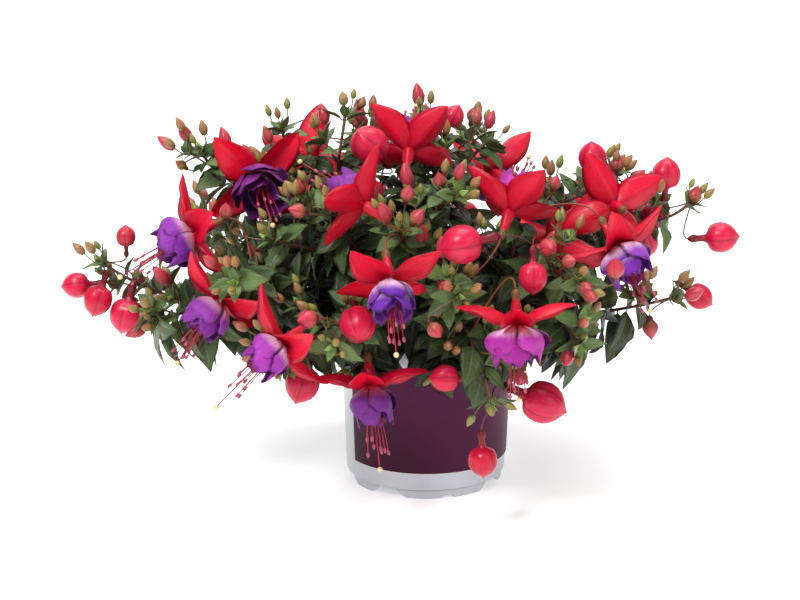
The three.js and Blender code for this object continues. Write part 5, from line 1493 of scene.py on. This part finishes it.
BUD_SKIN = bud_skin()
bud_groups = {}
for bud in BUDS:
    host, curve = bud_stalk(*bud)
    bodies, stalks = bud_groups.setdefault(host, (Piece(), Piece()))
    add_bud(bodies, *bud)
    t = np.linspace(0, 1, 12)
    stalks.add(carried(curve.at(t), BUD_STALK + 0.2 * t**4, 8), age=0.6 if bud[2] > LARGE_BUD else 0.3)
for name, group in shoots.items():
    tiny = Piece()
    for stem in group:
        if stem.tuft:
            t = np.linspace(stem.whole.parameter(stem.curve.length / stem.whole.length), 1, 8)
            end = carried(stem.whole.at(t), np.linspace(*TUFT_RADII, 8), 8)
            bud_groups[stem.tuft][1].add(end, age=0.4)
    for stem in group + sprigs[name]:
        tube, widths = tip_buds(stem)
        luck = np.array([draw(*stem.keys, k, 64) for k in range(TIP_BUDS)])[:, None, None]
        tiny.add(tube, maps={"bud": tube_map(tube, 0.3)}, age=bud_age(widths)[:, None, None], luck=luck)
    tiny.make(f"shoot_{name}_tip_buds", BUD_SKIN, "buds", f"shoot_{name}")
for host, (bodies, stalks) in bud_groups.items():
    bodies.make(f"{host}_heads", BUD_SKIN, "buds", host)
    stalks.make(f"{host}_stalks", STEM_SKIN, "buds", host)


# Studio
# A plain pale floor that runs on as the backdrop, soft light from wide panels, and a camera at the
# photograph's height and distance.
CAMERA_AIM = np.array([-17.8, 0, 125.7])
CAMERA_TILT, CAMERA_AWAY, CAMERA_LENS, CAMERA_FILM = 16.5, 1800, 118, 36
WORLD_LIGHT, PAPER_LIGHT = 0.3, 0.42
# Each panel: where it hangs and what it faces in metres, its side in metres and its power in watts.
PANELS = {"key_panel": ((-0.9, -1.5, 2.0), (0, 0, 0.15), 0.75, 54),
          "fill_panel": ((1.6, -1.5, 1.1), (0, 0, 0.15), 1.4, 12),
          "top_panel": ((0.1, 0.3, 2.4), (0, 0, 0.1), 1.6, 46)}
FLOOR_SIDE, FLOOR_FRONT, FLOOR_BACK, FLOOR_BEND, FLOOR_TOP = 4500, -3500, 2500, 900, 4000


def floor_sheet():
    """A sheet that lies level and, far behind, curves up into a wall: an arc between two lines."""
    arc = np.radians(np.linspace(0, 90, 16))
    y = np.concatenate([[FLOOR_FRONT], FLOOR_BACK + FLOOR_BEND * np.sin(arc), [FLOOR_BACK + FLOOR_BEND]])
    z = np.concatenate([[0], FLOOR_BEND * (1 - np.cos(arc)), [FLOOR_TOP]])
    grid = joined(np.array([-FLOOR_SIDE, FLOOR_SIDE]), y[:, None], z[:, None])
    mesh = bpy.data.meshes.new("studio_floor")
    mesh.from_pydata((grid.reshape(-1, 3) * MM).tolist(), [], quads_of(len(y), 2).tolist())
    mesh.materials.append(paper())
    return placed("studio_floor", mesh)


def paper():
    """White studio paper with hardly any tone in it."""
    made, tree = shader_material("studio_paper", 0.9, Specular_IOR_Level=0.2,
                                 Emission_Color=(1, 1, 1, 1), Emission_Strength=PAPER_LIGHT)
    return dressed(made, mottled(tree, paint("f6f6f6"), 2.0, 0.01, 300.0, 0.02)[0])


def soft_light(name, place, aim, size, power):
    """A square panel of light that faces a point."""
    light = bpy.data.lights.new(name, "AREA")
    light.shape, light.size, light.energy = "SQUARE", size, power
    made = placed(name, light)
    made.location = place
    made.rotation_euler = (Vector(aim) - Vector(place)).to_track_quat("-Z", "Y").to_euler()


floor_sheet()
world = bpy.data.worlds.new("studio")
world.use_nodes = True
sky = world.node_tree.nodes["Background"].inputs
sky["Color"].default_value, sky["Strength"].default_value = (1, 1, 1, 1), WORLD_LIGHT
bpy.context.scene.world = world
bpy.context.scene.view_settings.view_transform = "Standard"
for name, panel in PANELS.items():
    soft_light(name, *panel)

tilt = np.radians(CAMERA_TILT)
aim = (CAMERA_AIM + POT_MIDDLE) * MM
camera_data = bpy.data.cameras.new("photo_camera")
camera_data.lens, camera_data.sensor_width = CAMERA_LENS, CAMERA_FILM
camera = placed("photo_camera", camera_data)
camera.location = aim + np.array([0, -np.cos(tilt), np.sin(tilt)]) * CAMERA_AWAY * MM
camera.rotation_euler = (np.pi / 2 - tilt, 0, 0)
bpy.context.scene.camera = camera
